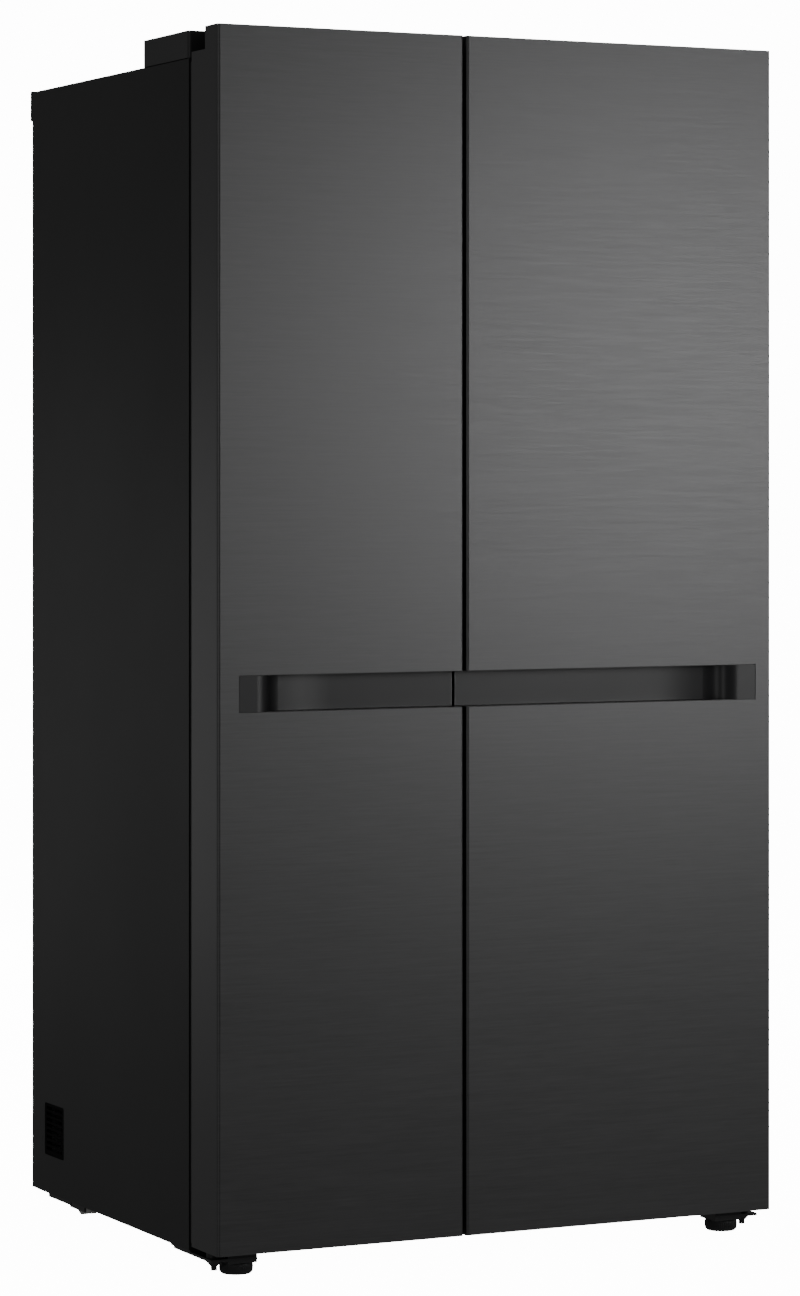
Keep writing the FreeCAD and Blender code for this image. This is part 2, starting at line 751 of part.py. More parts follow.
def door_caps(side):
    """Moulded end caps inside the skin; each has a solid corner bored for its hinge pin."""
    wide, gap = side.wide, "steel + fit"
    x, y = side.span(gap, f"{wide} - ({gap})"), (f"front + {gap}", f"door_back - ({gap})")
    hollow_x = side.span("notch_wide + cap_wall", f"{wide} - {gap} - cap_wall")
    hollow = rectangle(hollow_x, (f"{y[0]} + cap_wall", f"{y[1]} - cap_wall"), "4")
    pin_x = side.x("hinge_inset")

    top = body(side.name + "_top_cap")
    pad(top, "z", "notch_floor - cap_wall", "height - 1", rectangle(x, y, "skin_bend"))
    block = rectangle(side.span(gap, "notch_wide"), (y[0], "door_back - liner - fit"), "skin_bend")
    pad(top, "z", "notch_floor - hinge_block", "notch_floor", block)
    notch = rectangle(side.span("0", "notch_wide + fit"), ("front + fascia_deep", "door_back + 1"))
    pocket(top, "z", "notch_floor", "height", notch)
    pocket(top, "z", "notch_floor - cap_wall - 1", "height - 1 - cap_wall", hollow)
    bore = rod(pin_x, "axis_y", "notch_floor - hinge_block + 4", "pin_radius + running", "hinge_block")

    low = body(side.name + "_bottom_cap")
    rear = "door_back - liner - fit"
    pad(low, "z", "door_low + 1", "door_low + 1 + cap_deep", rectangle(x, (y[0], rear), "skin_bend"))
    tray = rectangle(hollow_x, (f"{y[0]} + cap_wall", f"{rear} - cap_wall"), "4")
    pocket(low, "z", "door_low + 1 + cap_wall", "door_low + 2 + cap_deep", tray)
    low_bore = rod(pin_x, "axis_y", "door_low", "pin_radius + running", "pin_long + 1")
    return node(side.name + "_door_caps", cut(top, bore), cut(low, low_bore))


def grip_outline(side, floor, face):
    """The plan of the grip channel: end plate, round crown, steep heel, long run-out, then the floor.

    The three arcs touch without a kink; the heel's radius is what is left of the depth.
    """
    sign = 1 if side.sign == "+" else -1

    def point(distance, y):
        return FreeCAD.Vector(size(side.edge) + sign * distance, y, 0)

    turn, lead = math.radians(size("grip_turn")), math.radians(size("grip_lead"))
    crown, tail = size("grip_crown"), size("grip_tail")
    heel_drop = floor - face - crown * (1 - math.cos(turn)) - tail * (1 - math.cos(lead))
    heel = heel_drop / (math.cos(lead) - math.cos(turn))
    start = size(side.grip_margin)
    along, y = start + size("grip_plate"), face
    edges = [Part.LineSegment(point(start, face), point(along, face))]
    for radius, begin, end in ((-crown, 0, turn), (heel, turn, lead), (tail, lead, 0)):
        spots = []
        for tilt in (begin, (begin + end) / 2, end):
            run = radius * (math.sin(begin) - math.sin(tilt))
            drop = radius * (math.cos(tilt) - math.cos(begin))
            spots.append(point(along + run, y + drop))
        edges.append(Part.Arc(*spots))
        along += radius * (math.sin(begin) - math.sin(end))
        y += radius * (math.cos(end) - math.cos(begin))
    edges.append(Part.LineSegment(point(along, y), point(size(side.wide), y)))
    return [e.toShape() for e in edges], point, along


def grip_insert(side):
    """The black moulded channel behind the opening in the skin: end plate, ramp, floor and finger lip."""
    face_y, floor_y = size("front + grip_sink"), size("grip_back")
    low, high, wall = size("grip_low + grip_gap"), size("grip_high - grip_gap"), size("grip_wall")
    wide = size(side.wide)
    edges, point, ramp_end = grip_outline(side, floor_y, face_y)
    start, end = size(side.grip_margin) + size("grip_gap"), wide - size("steel + fit")
    behind = [
        point(wide, floor_y),
        point(wide, face_y - 5),
        point(size(side.grip_margin), face_y - 5),
        point(size(side.grip_margin), face_y),
    ]
    scoop = Part.Face(Part.Wire(edges + [Part.makeLine(a, b) for a, b in zip(behind, behind[1:])]))
    up = FreeCAD.Vector(0, 0, 1)

    def block(near, far, y_low, y_high, z_low, z_high):
        a, b = point(near, y_low), point(far, y_high)
        return Part.makeBox(
            abs(b.x - a.x), y_high - y_low, z_high - z_low, FreeCAD.Vector(min(a.x, b.x), y_low, z_low),
        )

    sheet_back = size("front + skin_bend")
    under, lip = size("grip_under"), size("front + grip_lip")
    plug = block(start, end, face_y, floor_y + wall, low, high)
    housing = block(start - wall, end, sheet_back, floor_y + wall, low - wall, high + under + wall)
    space = scoop.extrude(up * (high - low)).translate(up * low)
    finger = block(ramp_end, wide + 1, lip, floor_y, high - 1, high + under)
    shape = plug.fuse(housing).cut(space).cut(finger).removeSplitter()
    return node(side.name + "_grip_channel", solid(shape))


def door_foam(side):
    """Foam filling the door between skin, caps, channel and inner liner, and inside the raised dyke."""
    made = body(side.name + "_door_foam")
    wide, gap = side.wide, "steel + fit"
    x, y = side.span(gap, f"{wide} - ({gap})"), (f"front + {gap}", "door_back - liner - fit")
    z = ("door_low + 1 + cap_deep + fit", "notch_floor - cap_wall - fit")
    pad(made, "z", *z, rectangle(x, y, "skin_bend"))
    dyke = rectangle(
        side.span("side_wall + dyke_play + liner + fit", f"{side.far} - dyke_play - liner - fit"),
        ("dyke_low + liner + fit", "dyke_high - liner - fit"), "dyke_bend",
    )
    hole = rectangle(
        side.span(
            "side_wall + dyke_play + dyke_wide - liner - fit",
            f"{side.far} - dyke_play - dyke_wide + liner + fit",
        ),
        ("dyke_low + dyke_wide - liner - fit", "dyke_high - dyke_wide + liner + fit"), "dyke_bend",
    )
    pad(made, "y", "door_back - liner - fit", "door_back + dyke_reach - liner - fit", dyke)
    pocket(made, "y", "door_back - liner - fit", "door_back + dyke_reach", hole)
    corner = rectangle(side.span("0", "notch_wide + fit"), ("front", "door_back"))
    pocket(made, "z", "notch_floor - hinge_block - fit", "notch_floor", corner)
    channel = rectangle(
        side.span(f"{side.grip_margin} - grip_wall - fit", f"{wide}"),
        ("front", "grip_back + grip_wall + fit"),
    )
    pocket(made, "z", "grip_low - grip_wall - fit", "grip_high + grip_under + grip_wall + fit", channel)
    return node(side.name + "_door_foam", made)


def door_liner(side, bins):
    """The formed inner panel with its raised dyke, which reaches into the tub, and bosses for the bins."""
    made = body(side.name + "_door_liner")
    wide = side.wide
    plate = rectangle(
        side.span("skin_return + fit", f"{wide} - skin_return - fit"),
        ("door_low + 4", "notch_floor - cap_wall"),
    )
    pad(made, "y", "door_back - liner", "door_back", plate)
    outer = side.span("side_wall + dyke_play", f"{side.far} - dyke_play")
    inner = side.span("side_wall + dyke_play + dyke_wide", f"{side.far} - dyke_play - dyke_wide")
    z_out, z_in = ("dyke_low", "dyke_high"), ("dyke_low + dyke_wide", "dyke_high - dyke_wide")
    pad(made, "y", "door_back - 1", "door_back + dyke_reach", rectangle(outer, z_out, "dyke_bend"))
    pocket(made, "y", "door_back", "door_back + dyke_reach + 1", rectangle(inner, z_in, "dyke_bend"))
    inset, grow = "liner", "liner"
    channel = [
        rectangle(
            (f"({outer[0]}) + {inset}", f"({outer[1]}) - {inset}"),
            (f"dyke_low + {inset}", f"dyke_high - {inset}"),
            "dyke_bend - liner",
        ),
        rectangle(
            (f"({inner[0]}) - {grow}", f"({inner[1]}) + {grow}"),
            (f"{z_in[0]} - {grow}", f"{z_in[1]} + {grow}"),
            "dyke_bend + liner",
        ),
    ]
    pocket(made, "y", "door_back - liner - 1", "door_back + dyke_reach - liner", *channel)
    for low in bins:
        for x in ((inner[0], f"({inner[0]}) + 9"), (f"({inner[1]}) - 9", inner[1])):
            pad(made, "y", "door_back - 1", "door_back + 24", rectangle(x, (f"{low} - 12", low)))
    return node(side.name + "_door_liner", made)


def door_gasket(side):
    """The soft magnetic seal round the door, just clear of the case's front flange."""
    made = body(side.name + "_gasket")
    reach = "gasket_near + gasket_wide"
    outer = rectangle(
        side.span(f"side_wall - ({reach})", f"{side.far} + {reach}"),
        (f"floor_level - ({reach})", f"ceiling + {reach}"), "6",
    )
    inner = rectangle(
        side.span("side_wall - gasket_near", f"{side.far} + gasket_near"),
        ("floor_level - gasket_near", "ceiling + gasket_near"), "3",
    )
    pad(made, "y", "door_back", "case_front - gasket_play", outer, inner)
    return node(side.name + "_door_gasket", made)


def door_bins(side, bins):
    """Clear moulded bins that hook over the bosses on the door liner."""
    made = []
    for number, low in enumerate(bins):
        tub = body(f"{side.name}_bin_{number}")
        x = side.span(
            "side_wall + dyke_play + dyke_wide + bin_play",
            f"{side.far} - dyke_play - dyke_wide - bin_play",
        )
        y = ("door_back + fit", "door_back + bin_reach")

        def plan(inset, bend):
            x_low, x_high = f"({x[0]}) + {inset}", f"({x[1]}) - ({inset})"
            y_low, y_high = f"{y[0]} + {inset}", f"{y[1]} - ({inset})"
            return [(x_low, y_low), (x_high, y_low), (x_high, y_high, bend), (x_low, y_high, bend)]

        pad(tub, "z", low, f"{low} + bin_high", plan("0", "bin_bend"))
        pocket(
            tub,
            "z",
            f"{low} + bin_wall",
            f"{low} + bin_high + 1",
            plan("bin_wall", "bin_bend - bin_wall"),
        )
        dip = [(f"{y[0]} - 1", f"{low} + bin_high * 0.72"), (f"{y[1]} - bin_bend * 2", f"{low} + bin_high * 0.72"),
               (f"{y[1]} - bin_bend", f"{low} + bin_high + 1"), (f"{y[0]} - 1", f"{low} + bin_high + 1")]
        pocket(tub, "x", f"({x[0]}) - 1", f"({x[1]}) + 1", dip)
        made.append(tub)
    return node(side.name + "_door_bins", *made)


# ---------------------------------------------------------------- shelves and drawers


def shelf_set(side, shelves):
    """Glass panes with a moulded nosing along the front and a bar along the back."""
    panes, trims = [], []
    rear = shelf_rear(side)
    x = side.span("side_wall + shelf_play", f"{side.far} - shelf_play")
    for low in shelves:
        pane = box(x, ("shelf_front + 4", f"{rear} - 4"), (f"{low} + 1", f"{low} + 1 + shelf_thick"))
        slot = box(x, ("shelf_front + 4", f"{rear} - 4"), (f"{low} + 1", f"{low} + 1 + shelf_thick"))
        nosing = body(f"{side.name}_nosing")
        z_low, z_high = f"{low}", f"{low} + trim_high"
        pad(nosing, "x", *x, rectangle(("shelf_front", "shelf_front + trim_deep"), (z_low, z_high), "2"))
        bar = box(x, (f"{rear} - 14", rear), (z_low, f"{low} + shelf_thick + 8"))
        panes.append(pane)
        trims.append(cut(nosing, slot))
        trims.append(cut(bar, slot))
    return panes, trims


def drawer(name, side, low, high, rear):
    """An open-topped drawer with a thick front, a rim and a grip recess under its front lip."""
    made = body(name)
    x = side.span("side_wall + drawer_play", f"{side.far} - drawer_play")
    wall = "drawer_wall"
    y = ("shelf_front", rear)
    pad(made, "z", low, high, rectangle(x, y, "drawer_bend"))
    inside = rectangle(
        (f"({x[0]}) + {wall}", f"({x[1]}) - {wall}"),
        (f"{y[0]} + 22", f"{y[1]} - {wall}"),
        "drawer_bend - drawer_wall",
    )
    pocket(made, "z", f"{low} + {wall}", f"{high} + 1", inside)
    grip = rectangle((f"({x[0]}) + 50", f"({x[1]}) - 50"), (f"{high} - 44", f"{high} - 16"), "6")
    pocket(made, "y", f"{y[0]} - 1", f"{y[0]} + 17", grip)
    rims = [
        rectangle((f"({x[0]}) - 3", f"({x[0]}) + 1"), (f"{high} - 6", high)),
        rectangle((f"({x[1]}) - 1", f"({x[1]}) + 3"), (f"{high} - 6", high)),
    ]
    pad(made, "y", "shelf_front + 24", f"{rear} - drawer_bend", *rims)
    return node(name, made)


# ---------------------------------------------------------------- ice maker


ICE_TOP = "ceiling - 30"
ICE_AXIS_Z = "ceiling - 78"
ICE_FRONT = "shelf_front + 6"


def ice_maker():
    """A frame hung from the freezer ceiling that holds two twist trays above a sliding ice bin."""
    x = FREEZER.span("side_wall + 12", "freezer_far - 12")
    y = (ICE_FRONT, "shelf_front + 292")
    z = ("ceiling - 128", ICE_TOP)
    frame = body("ice_frame")
    pad(frame, "z", *z, rectangle(x, y, "8"))
    pocket(
        frame,
        "z",
        f"{z[0]} - 1",
        f"{z[1]} - 3",
        rectangle((f"({x[0]}) + 4", f"({x[1]}) - 4"), (f"{y[0]} + 14", f"{y[1]} - 6"), "5"),
    )
    hangers = [box((f"({x[0]}) + {d}", f"({x[0]}) + {d} + 20"), (f"{y[0]} + {e}", f"{y[0]} + {e} + 14"), (ICE_TOP, "ceiling"))
               for d in (20, 240) for e in (30, 230)]
    holes = [rod(tray_x(n), f"{y[0]} - 1", ICE_AXIS_Z, "7 + running", "290", "y") for n in (0, 1)]
    node("ice_maker_frame", cut(fuse(frame, *hangers), *holes))
    for number in (0, 1):
        ice_tray(number, y)
    bin_body = body("ice_bin")
    bx, by = (f"({x[0]}) + 6", f"({x[1]}) - 6"), ("shelf_front", "shelf_front + 290")
    bz = ("ceiling - 230", "ceiling - 132")
    pad(bin_body, "z", *bz, rectangle(bx, by, "drawer_bend"))
    pocket(bin_body, "z", f"{bz[0]} + 2.5", f"{bz[1]} + 1",
           rectangle((f"({bx[0]}) + 2.5", f"({bx[1]}) - 2.5"), (f"{by[0]} + 6", f"{by[1]} - 2.5"), "drawer_bend - 2.5"))
    pocket(
        bin_body,
        "y",
        f"{by[0]} - 1",
        f"{by[0]} + 7",
        rectangle((f"({bx[0]}) + 90", f"({bx[1]}) - 90"), (f"{bz[1]} - 26", f"{bz[1]} - 10"), "6"),
    )
    return node("ice_bin", bin_body)


def tray_x(number):
    """The X of a twist tray's axle: the trays hang side by side."""
    return f"({FREEZER.x('(side_wall + freezer_far) / 2')}) + {(-70, 70)[number]}"


def ice_tray(number, y):
    """A cupped tray on two stub axles, with a turning knob in front of the frame."""
    x = tray_x(number)
    tray = body(f"ice_tray_{number}")
    wide, long = (f"({x}) - 36", f"({x}) + 36"), (f"{y[0]} + 22", f"{y[1]} - 16")
    pad(tray, "z", f"{ICE_AXIS_Z} - 24", f"{ICE_AXIS_Z} + 10", rectangle(wide, long, "8"))
    cups = [
        box(
            (f"({x}) - 33", f"({x}) + 33"),
            (f"{long[0]} + 3", f"{long[1]} - 3"),
            (f"{ICE_AXIS_Z} + 2", f"{ICE_AXIS_Z} + 11"),
        )
    ]
    for line in range(5):
        low = f"{long[0]} + {6 + line * 47.5}"
        cups += slots(
            f"({x}) - 33", 35, 2, 31, (low, f"{low} + 42"), (f"{ICE_AXIS_Z} - 20", f"{ICE_AXIS_Z} + 3"),
        )
    front_axle = rod(x, f"{y[0]} - 8", ICE_AXIS_Z, "7", f"{22 + 8} + 3", "y")
    rear_axle = rod(x, f"{y[1]} - 18", ICE_AXIS_Z, "7", "17", "y")
    knob = rod(x, f"{y[0]} - 22", ICE_AXIS_Z, "19", "16", "y")
    bar = box(
        (f"({x}) - 4", f"({x}) + 4"),
        (f"{y[0]} - 32", f"{y[0]} - 20"),
        (f"{ICE_AXIS_Z} - 19", f"{ICE_AXIS_Z} + 19"),
    )
    cupped = cut(tray, *cups)
    return node(f"ice_tray_{('left', 'right')[number]}", fuse(cupped, front_axle, rear_axle, knob, bar))


# ---------------------------------------------------------------- cold side


def evaporator():
    """The finned cooling coil behind the freezer's rear panel."""
    x = FREEZER.span("side_wall + 22", "freezer_far - 22")
    y, z = ("evap_front + 8", "inner_back - 6"), ("step_z + 30", "step_z + 330")
    core = box(x, y, z)
    gaps = slots(
        f"({x[0]}) + 6", 12.5, 20, 9.5, (f"{y[0]} - 1", f"{y[1]} - 14"), (f"{z[0]} - 1", f"{z[1]} + 1"),
    )
    return node("evaporator", cut(core, *gaps))


def evaporator_cover():
    """The freezer's rear panel: return slots at the bottom, a fan inlet ring and air outlets above."""
    made = body("evaporator_cover")
    x = FREEZER.span("side_wall + 1.5", "freezer_far - 1.5")
    z = ("step_z + 1", "ceiling - 18")
    pad(made, "y", "evap_front - 3", "evap_front", rectangle(x, z, "6"))
    pad(
        made,
        "y",
        "evap_front - 6",
        "evap_front - 3",
        rectangle((f"({x[0]}) + 60", f"({x[1]}) - 60"), ("step_z + 380", "ceiling - 120"), "14"),
    )
    through = ("evap_front - 7", "evap_front + 1")
    openings = slots(f"({x[0]}) + 24", 30, 9, 20, through, ("step_z + 20", "step_z + 30"))
    for line in range(4):
        low = f"step_z + {600 + line * 150}"
        openings += slots(f"({x[0]}) + 88", 46, 3, 36, through, (low, f"{low} + 9"))
    port = rod(fan_x(), "evap_front - 8", FAN_Z, "52", "20", "y")
    return node("evaporator_cover", cut(made, port, *openings))


FAN_Z = "step_z + 460"


def fan_x():
    """The X of the freezer fan: the middle of the tub."""
    return FREEZER.x("(side_wall + freezer_far) / 2")


def fan_blades(x, y, z, along, radius, hub, deep, count=5):
    """A moulded fan: a hub with swept flat blades set at a pitch, about an axis."""
    hub_shape = Part.makeCylinder(hub, deep)
    blades = []
    for n in range(count):
        blade = Part.makeBox(radius - hub + 3, 2, deep * 1.25, FreeCAD.Vector(hub - 3, -1, 0))
        tip = Part.makeCylinder(radius, deep * 2, FreeCAD.Vector(0, 0, -deep / 2))
        middle = FreeCAD.Vector(0, 0, deep / 2)
        blade.translate(FreeCAD.Vector(0, 0, -deep * 0.125))
        blade.rotate(middle, FreeCAD.Vector(1, 0, 0), 38)
        blade = blade.common(tip)
        blade.rotate(FreeCAD.Vector(), FreeCAD.Vector(0, 0, 1), 360 / count * n)
        blades.append(blade)
    shape = hub_shape.multiFuse(blades)
    about, angle = TURNS[along]
    shape.rotate(FreeCAD.Vector(), FreeCAD.Vector(*about), angle)
    shape.translate(FreeCAD.Vector(size(x), size(y), size(z)))
    return shape


def freezer_fan():
    """The fan that blows cold air through the cover, and its motor on a three-legged bracket."""
    shape = fan_blades(fan_x(), "evap_front + 6", FAN_Z, "y", 46, 14, 16)
    hole = Part.makeCylinder(
        3.05, 40, FreeCAD.Vector(size(fan_x()), size("evap_front"), size(FAN_Z)), FreeCAD.Vector(0, 1, 0),
    )
    node("freezer_fan", solid(shape.cut(hole)))
    motor = rod(fan_x(), "evap_front + 26", FAN_Z, "20", "22", "y")
    shaft = rod(fan_x(), "evap_front + 8", FAN_Z, "3", "20", "y")
    legs = [
        box(
            (f"{fan_x()} - 62", f"{fan_x()} + 62"),
            ("evap_front + 44", "evap_front + 47"),
            (f"{FAN_Z} - 8", f"{FAN_Z} + 8"),
        )
    ]
    legs += [
        box(
            (f"{fan_x()} + {d} - 4", f"{fan_x()} + {d} + 4"),
            ("evap_front", "evap_front + 47"),
            (f"{FAN_Z} - 8", f"{FAN_Z} + 8"),
        )
        for d in (-58, 58)
    ]
    return node("freezer_fan_motor", fuse(motor, shaft, *legs))


def air_duct():
    """The fridge's rear air column, with outlets at each shelf."""
    made = body("air_duct")
    middle = FRIDGE.x("(side_wall + fridge_far) / 2")
    x = (f"({middle}) - duct_wide / 2", f"({middle}) + duct_wide / 2")
    z = ("step_z + 4", "ceiling - 40")
    pad(made, "y", "duct_front", "inner_back - fit", rectangle(x, z, "10"))
    pocket(
        made,
        "y",
        "duct_front + 3",
        "inner_back",
        rectangle((f"({x[0]}) + 3", f"({x[1]}) - 3"), (f"{z[0]} + 3", f"{z[1]} - 3"), "7"),
    )
    outlets = []
    for line in range(6):
        low = f"step_z + {190 + line * 195}"
        outlets += slots(
            f"({x[0]}) + 22", 50, 3, 40, ("duct_front - 1", "duct_front + 4"), (low, f"{low} + 8"),
        )
    return node("air_duct", cut(made, *outlets))


PANEL_FACE = "shelf_front - 2"


def control_panel():
    """The lamp and control housing under the fridge ceiling, with two push buttons."""
    made = body("control_panel")
    middle = FRIDGE.x("(side_wall + fridge_far) / 2")
    x = (f"({middle}) - 150", f"({middle}) + 150")
    pad(made, "z", "ceiling - 44", "ceiling", rectangle(x, (PANEL_FACE, f"{PANEL_FACE} + 120"), "8"))
    lamp = rectangle(
        (f"({x[0]}) + 30", f"({x[1]}) - 30"), (f"{PANEL_FACE} + 30", f"{PANEL_FACE} + 105"), "6",
    )
    pocket(made, "z", "ceiling - 45", "ceiling - 36", lamp)
    wells = [button_outline(n, "0.3") for n in range(2)]
    pocket(made, "y", f"{PANEL_FACE} - 1", f"{PANEL_FACE} + 6", *wells)
    node("control_panel", made)
    lens = body("fridge_lens")
    pad(
        lens,
        "z",
        "ceiling - 44",
        "ceiling - 36",
        rectangle(
            (f"({x[0]}) + 30.2", f"({x[1]}) - 30.2"),
            (f"{PANEL_FACE} + 30.2", f"{PANEL_FACE} + 104.8"),
            "5.8",
        ),
    )
    frost = body("freezer_lens")
    fx = FREEZER.x("(side_wall + freezer_far) / 2")
    pad(
        frost,
        "y",
        "evap_front - 16",
        "evap_front - 6",
        rectangle((f"({fx}) - 55", f"({fx}) + 55"), ("ceiling - 112", "ceiling - 62"), "10"),
    )
    node("lamp_lenses", lens, frost)
    for number, name in enumerate(("freezer_button", "fridge_button")):
        key = body(name)
        pad(key, "y", f"{PANEL_FACE} - 2", f"{PANEL_FACE} + 3.5", button_outline(number, "0"))
        node(name, key)


def button_outline(number, grow):
    """One push button's outline on the control panel's face, as (x, z)."""
    middle = f"({FRIDGE.x('(side_wall + fridge_far) / 2')}) + {(-35, 35)[number]}"
    return rectangle(
        (f"{middle} - 20 - {grow}", f"{middle} + 20 + {grow}"),
        (f"ceiling - 30 - {grow}", f"ceiling - 16 + {grow}"),
        "3",
    )


# ---------------------------------------------------------------- machine room

TRAY_TOP = "case_low - 2"


def compressor():
    """A hermetic compressor: a domed steel can on a four-eared plate, with three stub pipes."""
    x, y = "right - 190", "case_back - 118"
    base = f"{TRAY_TOP} + 22"
    can = doc.addObject("Part::Cylinder", "Can")
    bind(can, Radius="78", Height="120")
    place(can, x, y, f"{base} + 3 + 18")
    low = doc.addObject("Part::Ellipsoid", "Dome")
    bind(low, Radius1="30", Radius2="78", Radius3="78", Angle1="-90", Angle2="90", Angle3="360")
    place(low, x, y, f"{base} + 3 + 18")
    high = doc.addObject("Part::Ellipsoid", "Dome")
    bind(high, Radius1="38", Radius2="78", Radius3="78", Angle1="-90", Angle2="90", Angle3="360")
    place(high, x, y, f"{base} + 3 + 138")
    seam = rod(x, y, f"{base} + 78", "81", "5")
    plate = cut(
        box((f"{x} - 92", f"{x} + 92"), (f"{y} - 72", f"{y} + 72"), (base, f"{base} + 3")),
        *[
            rod(f"{x} + {dx}", f"{y} + {dy}", f"{base} - 1", "6 + running", "5")
            for dx in (-80, 80) for dy in (-60, 60)
        ],
    )
    trimmed = cut(
        low, box((f"{x} - 90", f"{x} + 90"), (f"{y} - 90", f"{y} + 90"), (f"{base} - 40", base)),
    )
    pipes = [rod(f"{x} - {d}", f"{y} - 60", f"{base} + 110", "4", "60", "z") for d in (30, 48)]
    relay = box((f"{x} - 25", f"{x} + 25"), (f"{y} - 98", f"{y} - 60"), (f"{base} + 50", f"{base} + 100"))
    return node("compressor", fuse(can, trimmed, high, seam, plate, relay, *pipes))


def compressor_mounts():
    """Four rubber grommets on studs, which stop the compressor's hum reaching the case."""
    x, y = "right - 190", "case_back - 118"
    made = []
    for dx in (-80, 80):
        for dy in (-60, 60):
            at = f"{x} + {dx}", f"{y} + {dy}"
            made.append(
                fuse(
                    rod(*at, TRAY_TOP, "13", "22"),
                    rod(*at, f"{TRAY_TOP} + 20", "6", "8"),
                    rod(*at, f"{TRAY_TOP} + 25.2", "10", "4"),
                )
            )
    return node("compressor_mounts", *made)


def drain_pan():
    """The open tray that catches defrost water under the condenser."""
    x, y = ("left + 96", "left + 396"), ("case_back - 190", "case_back - 30")
    made = body("drain_pan")
    pad(made, "z", TRAY_TOP, f"{TRAY_TOP} + 42", rectangle(x, y, "10"))
    pocket(
        made,
        "z",
        f"{TRAY_TOP} + 2.5",
        f"{TRAY_TOP} + 43",
        rectangle((f"{x[0]} + 2.5", f"{x[1]} - 2.5"), (f"{y[0]} + 2.5", f"{y[1]} - 2.5"), "7.5"),
    )
    return node("drain_pan", made)


def condenser_coil():
    """Three serpentine layers of steel tube above the drain pan."""
    radius, pitch, passes = 2.4, 22.0, 6
    x_low, x_high = size("left + 112"), size("left + 380")
    bottom = size(TRAY_TOP) + 60
    coils = []
    for layer in range(3):
        y = size("case_back - 150") + layer * 40
        edges, at = [], FreeCAD.Vector(x_low, y, bottom)
        for n in range(passes):
            end = FreeCAD.Vector(x_high if n % 2 == 0 else x_low, y, bottom + n * pitch)
            edges.append(Part.makeLine(at, end))
            if n < passes - 1:
                over = FreeCAD.Vector(end.x, y, end.z + pitch)
                bulge = FreeCAD.Vector(
                    end.x + (pitch / 2 if n % 2 == 0 else -pitch / 2), y, end.z + pitch / 2,
                )
                edges.append(Part.Arc(end, bulge, over).toShape())
                at = over
        path = Part.Wire(edges)
        ring = Part.Wire(
            Part.makeCircle(radius, FreeCAD.Vector(x_low, y, bottom), FreeCAD.Vector(1, 0, 0))
        )
        coils.append(solid(path.makePipeShell([ring], True, False)))
    return node("condenser_coil", *coils)


def condenser_fan():
    """The machine room fan between condenser and compressor, in a square shroud."""
    x, y, z = "left + 452", "case_back - 110", f"{TRAY_TOP} + 108"
    shape = fan_blades(f"{x} + 6", y, z, "x", 74, 22, 22)
    hole = Part.makeCylinder(
        3.05, 60, FreeCAD.Vector(size(x) - 10, size(y), size(z)), FreeCAD.Vector(1, 0, 0),
    )
    node("condenser_fan", solid(shape.cut(hole)))
    frame = cut(
        box((f"{x} - 8", f"{x} + 34"), (f"{y} - 88", f"{y} + 88"), (TRAY_TOP, f"{TRAY_TOP} + 200")),
        rod(f"{x} - 9", y, z, "79", "44", "x"),
    )
    bars = [
        box(
            (f"{x} + 44 - 8", f"{x} + 44 - 4"), (f"{y} - 88", f"{y} + 88"),
            (f"{z} + {d} - 5", f"{z} + {d} + 5"),
        )
        for d in (-14, 14)
    ]
    links = [
        box((f"{x} + 33", f"{x} + 40"), (f"{y} + {e}", f"{y} + {e} + 8"), (f"{z} - 24", f"{z} + 24"))
        for e in (-88, 80)
    ]
    motor = rod(f"{x} + 36", y, z, "24", "34", "x")
    shaft = rod(f"{x} + 8", y, z, "3", "32", "x")
    return node("condenser_fan_shroud", fuse(frame, *links, *bars, motor, shaft))


def machine_cover():
    """The pressed rear cover of the machine room, with rows of cooling slots and a cord gland."""
    made = body("machine_cover")
    x, z = ("left + steel + fit", "right - steel - fit"), (
        "case_low - 2 + fit", "machine_roof - steel - fit",
    )
    pad(made, "y", "case_back - steel", "case_back", rectangle(x, z, "3"))
    openings = []
    for line in range(6):
        low = f"case_low + {36 + line * 24}"
        through, z_range = ("case_back - steel - 1", "case_back + 1"), (low, f"{low} + 6")
        openings += slots("left + 70", 34, 10, 24, through, z_range)
        openings += slots("right - 332", 34, 8, 24, through, z_range)
    gland_at = ("60", "case_low + 170")
    hole = rod(gland_at[0], "case_back - 10", gland_at[1], "8 + running", "20", "y")
    node("machine_cover", cut(made, hole, *openings))
    gland = cut(
        fuse(rod(gland_at[0], "case_back - steel - 4", gland_at[1], "8", "steel + 4 + 4", "y"),
             rod(gland_at[0], "case_back", gland_at[1], "12", "4", "y"),
             rod(gland_at[0], "case_back - steel - 7", gland_at[1], "11", "7", "y")),
        rod(gland_at[0], "case_back - 20", gland_at[1], "4", "40", "y"),
    )
    return node("cord_gland", gland)


# ---------------------------------------------------------------- build

UPPER_SHELVES = [f"step_z + second_shelf + shelf_pitch * {number}" for number in range(3)]
FREEZER_SHELVES = ["step_z + freezer_shelf", *UPPER_SHELVES[:2]]
FRIDGE_SHELVES = ["step_z + fridge_shelf", *UPPER_SHELVES]
FREEZER_BINS = [f"dyke_low + freezer_bin + freezer_bin_pitch * {number}" for number in range(4)]
FRIDGE_BINS = [f"dyke_low + fridge_bin + fridge_bin_pitch * {number}" for number in range(5)]

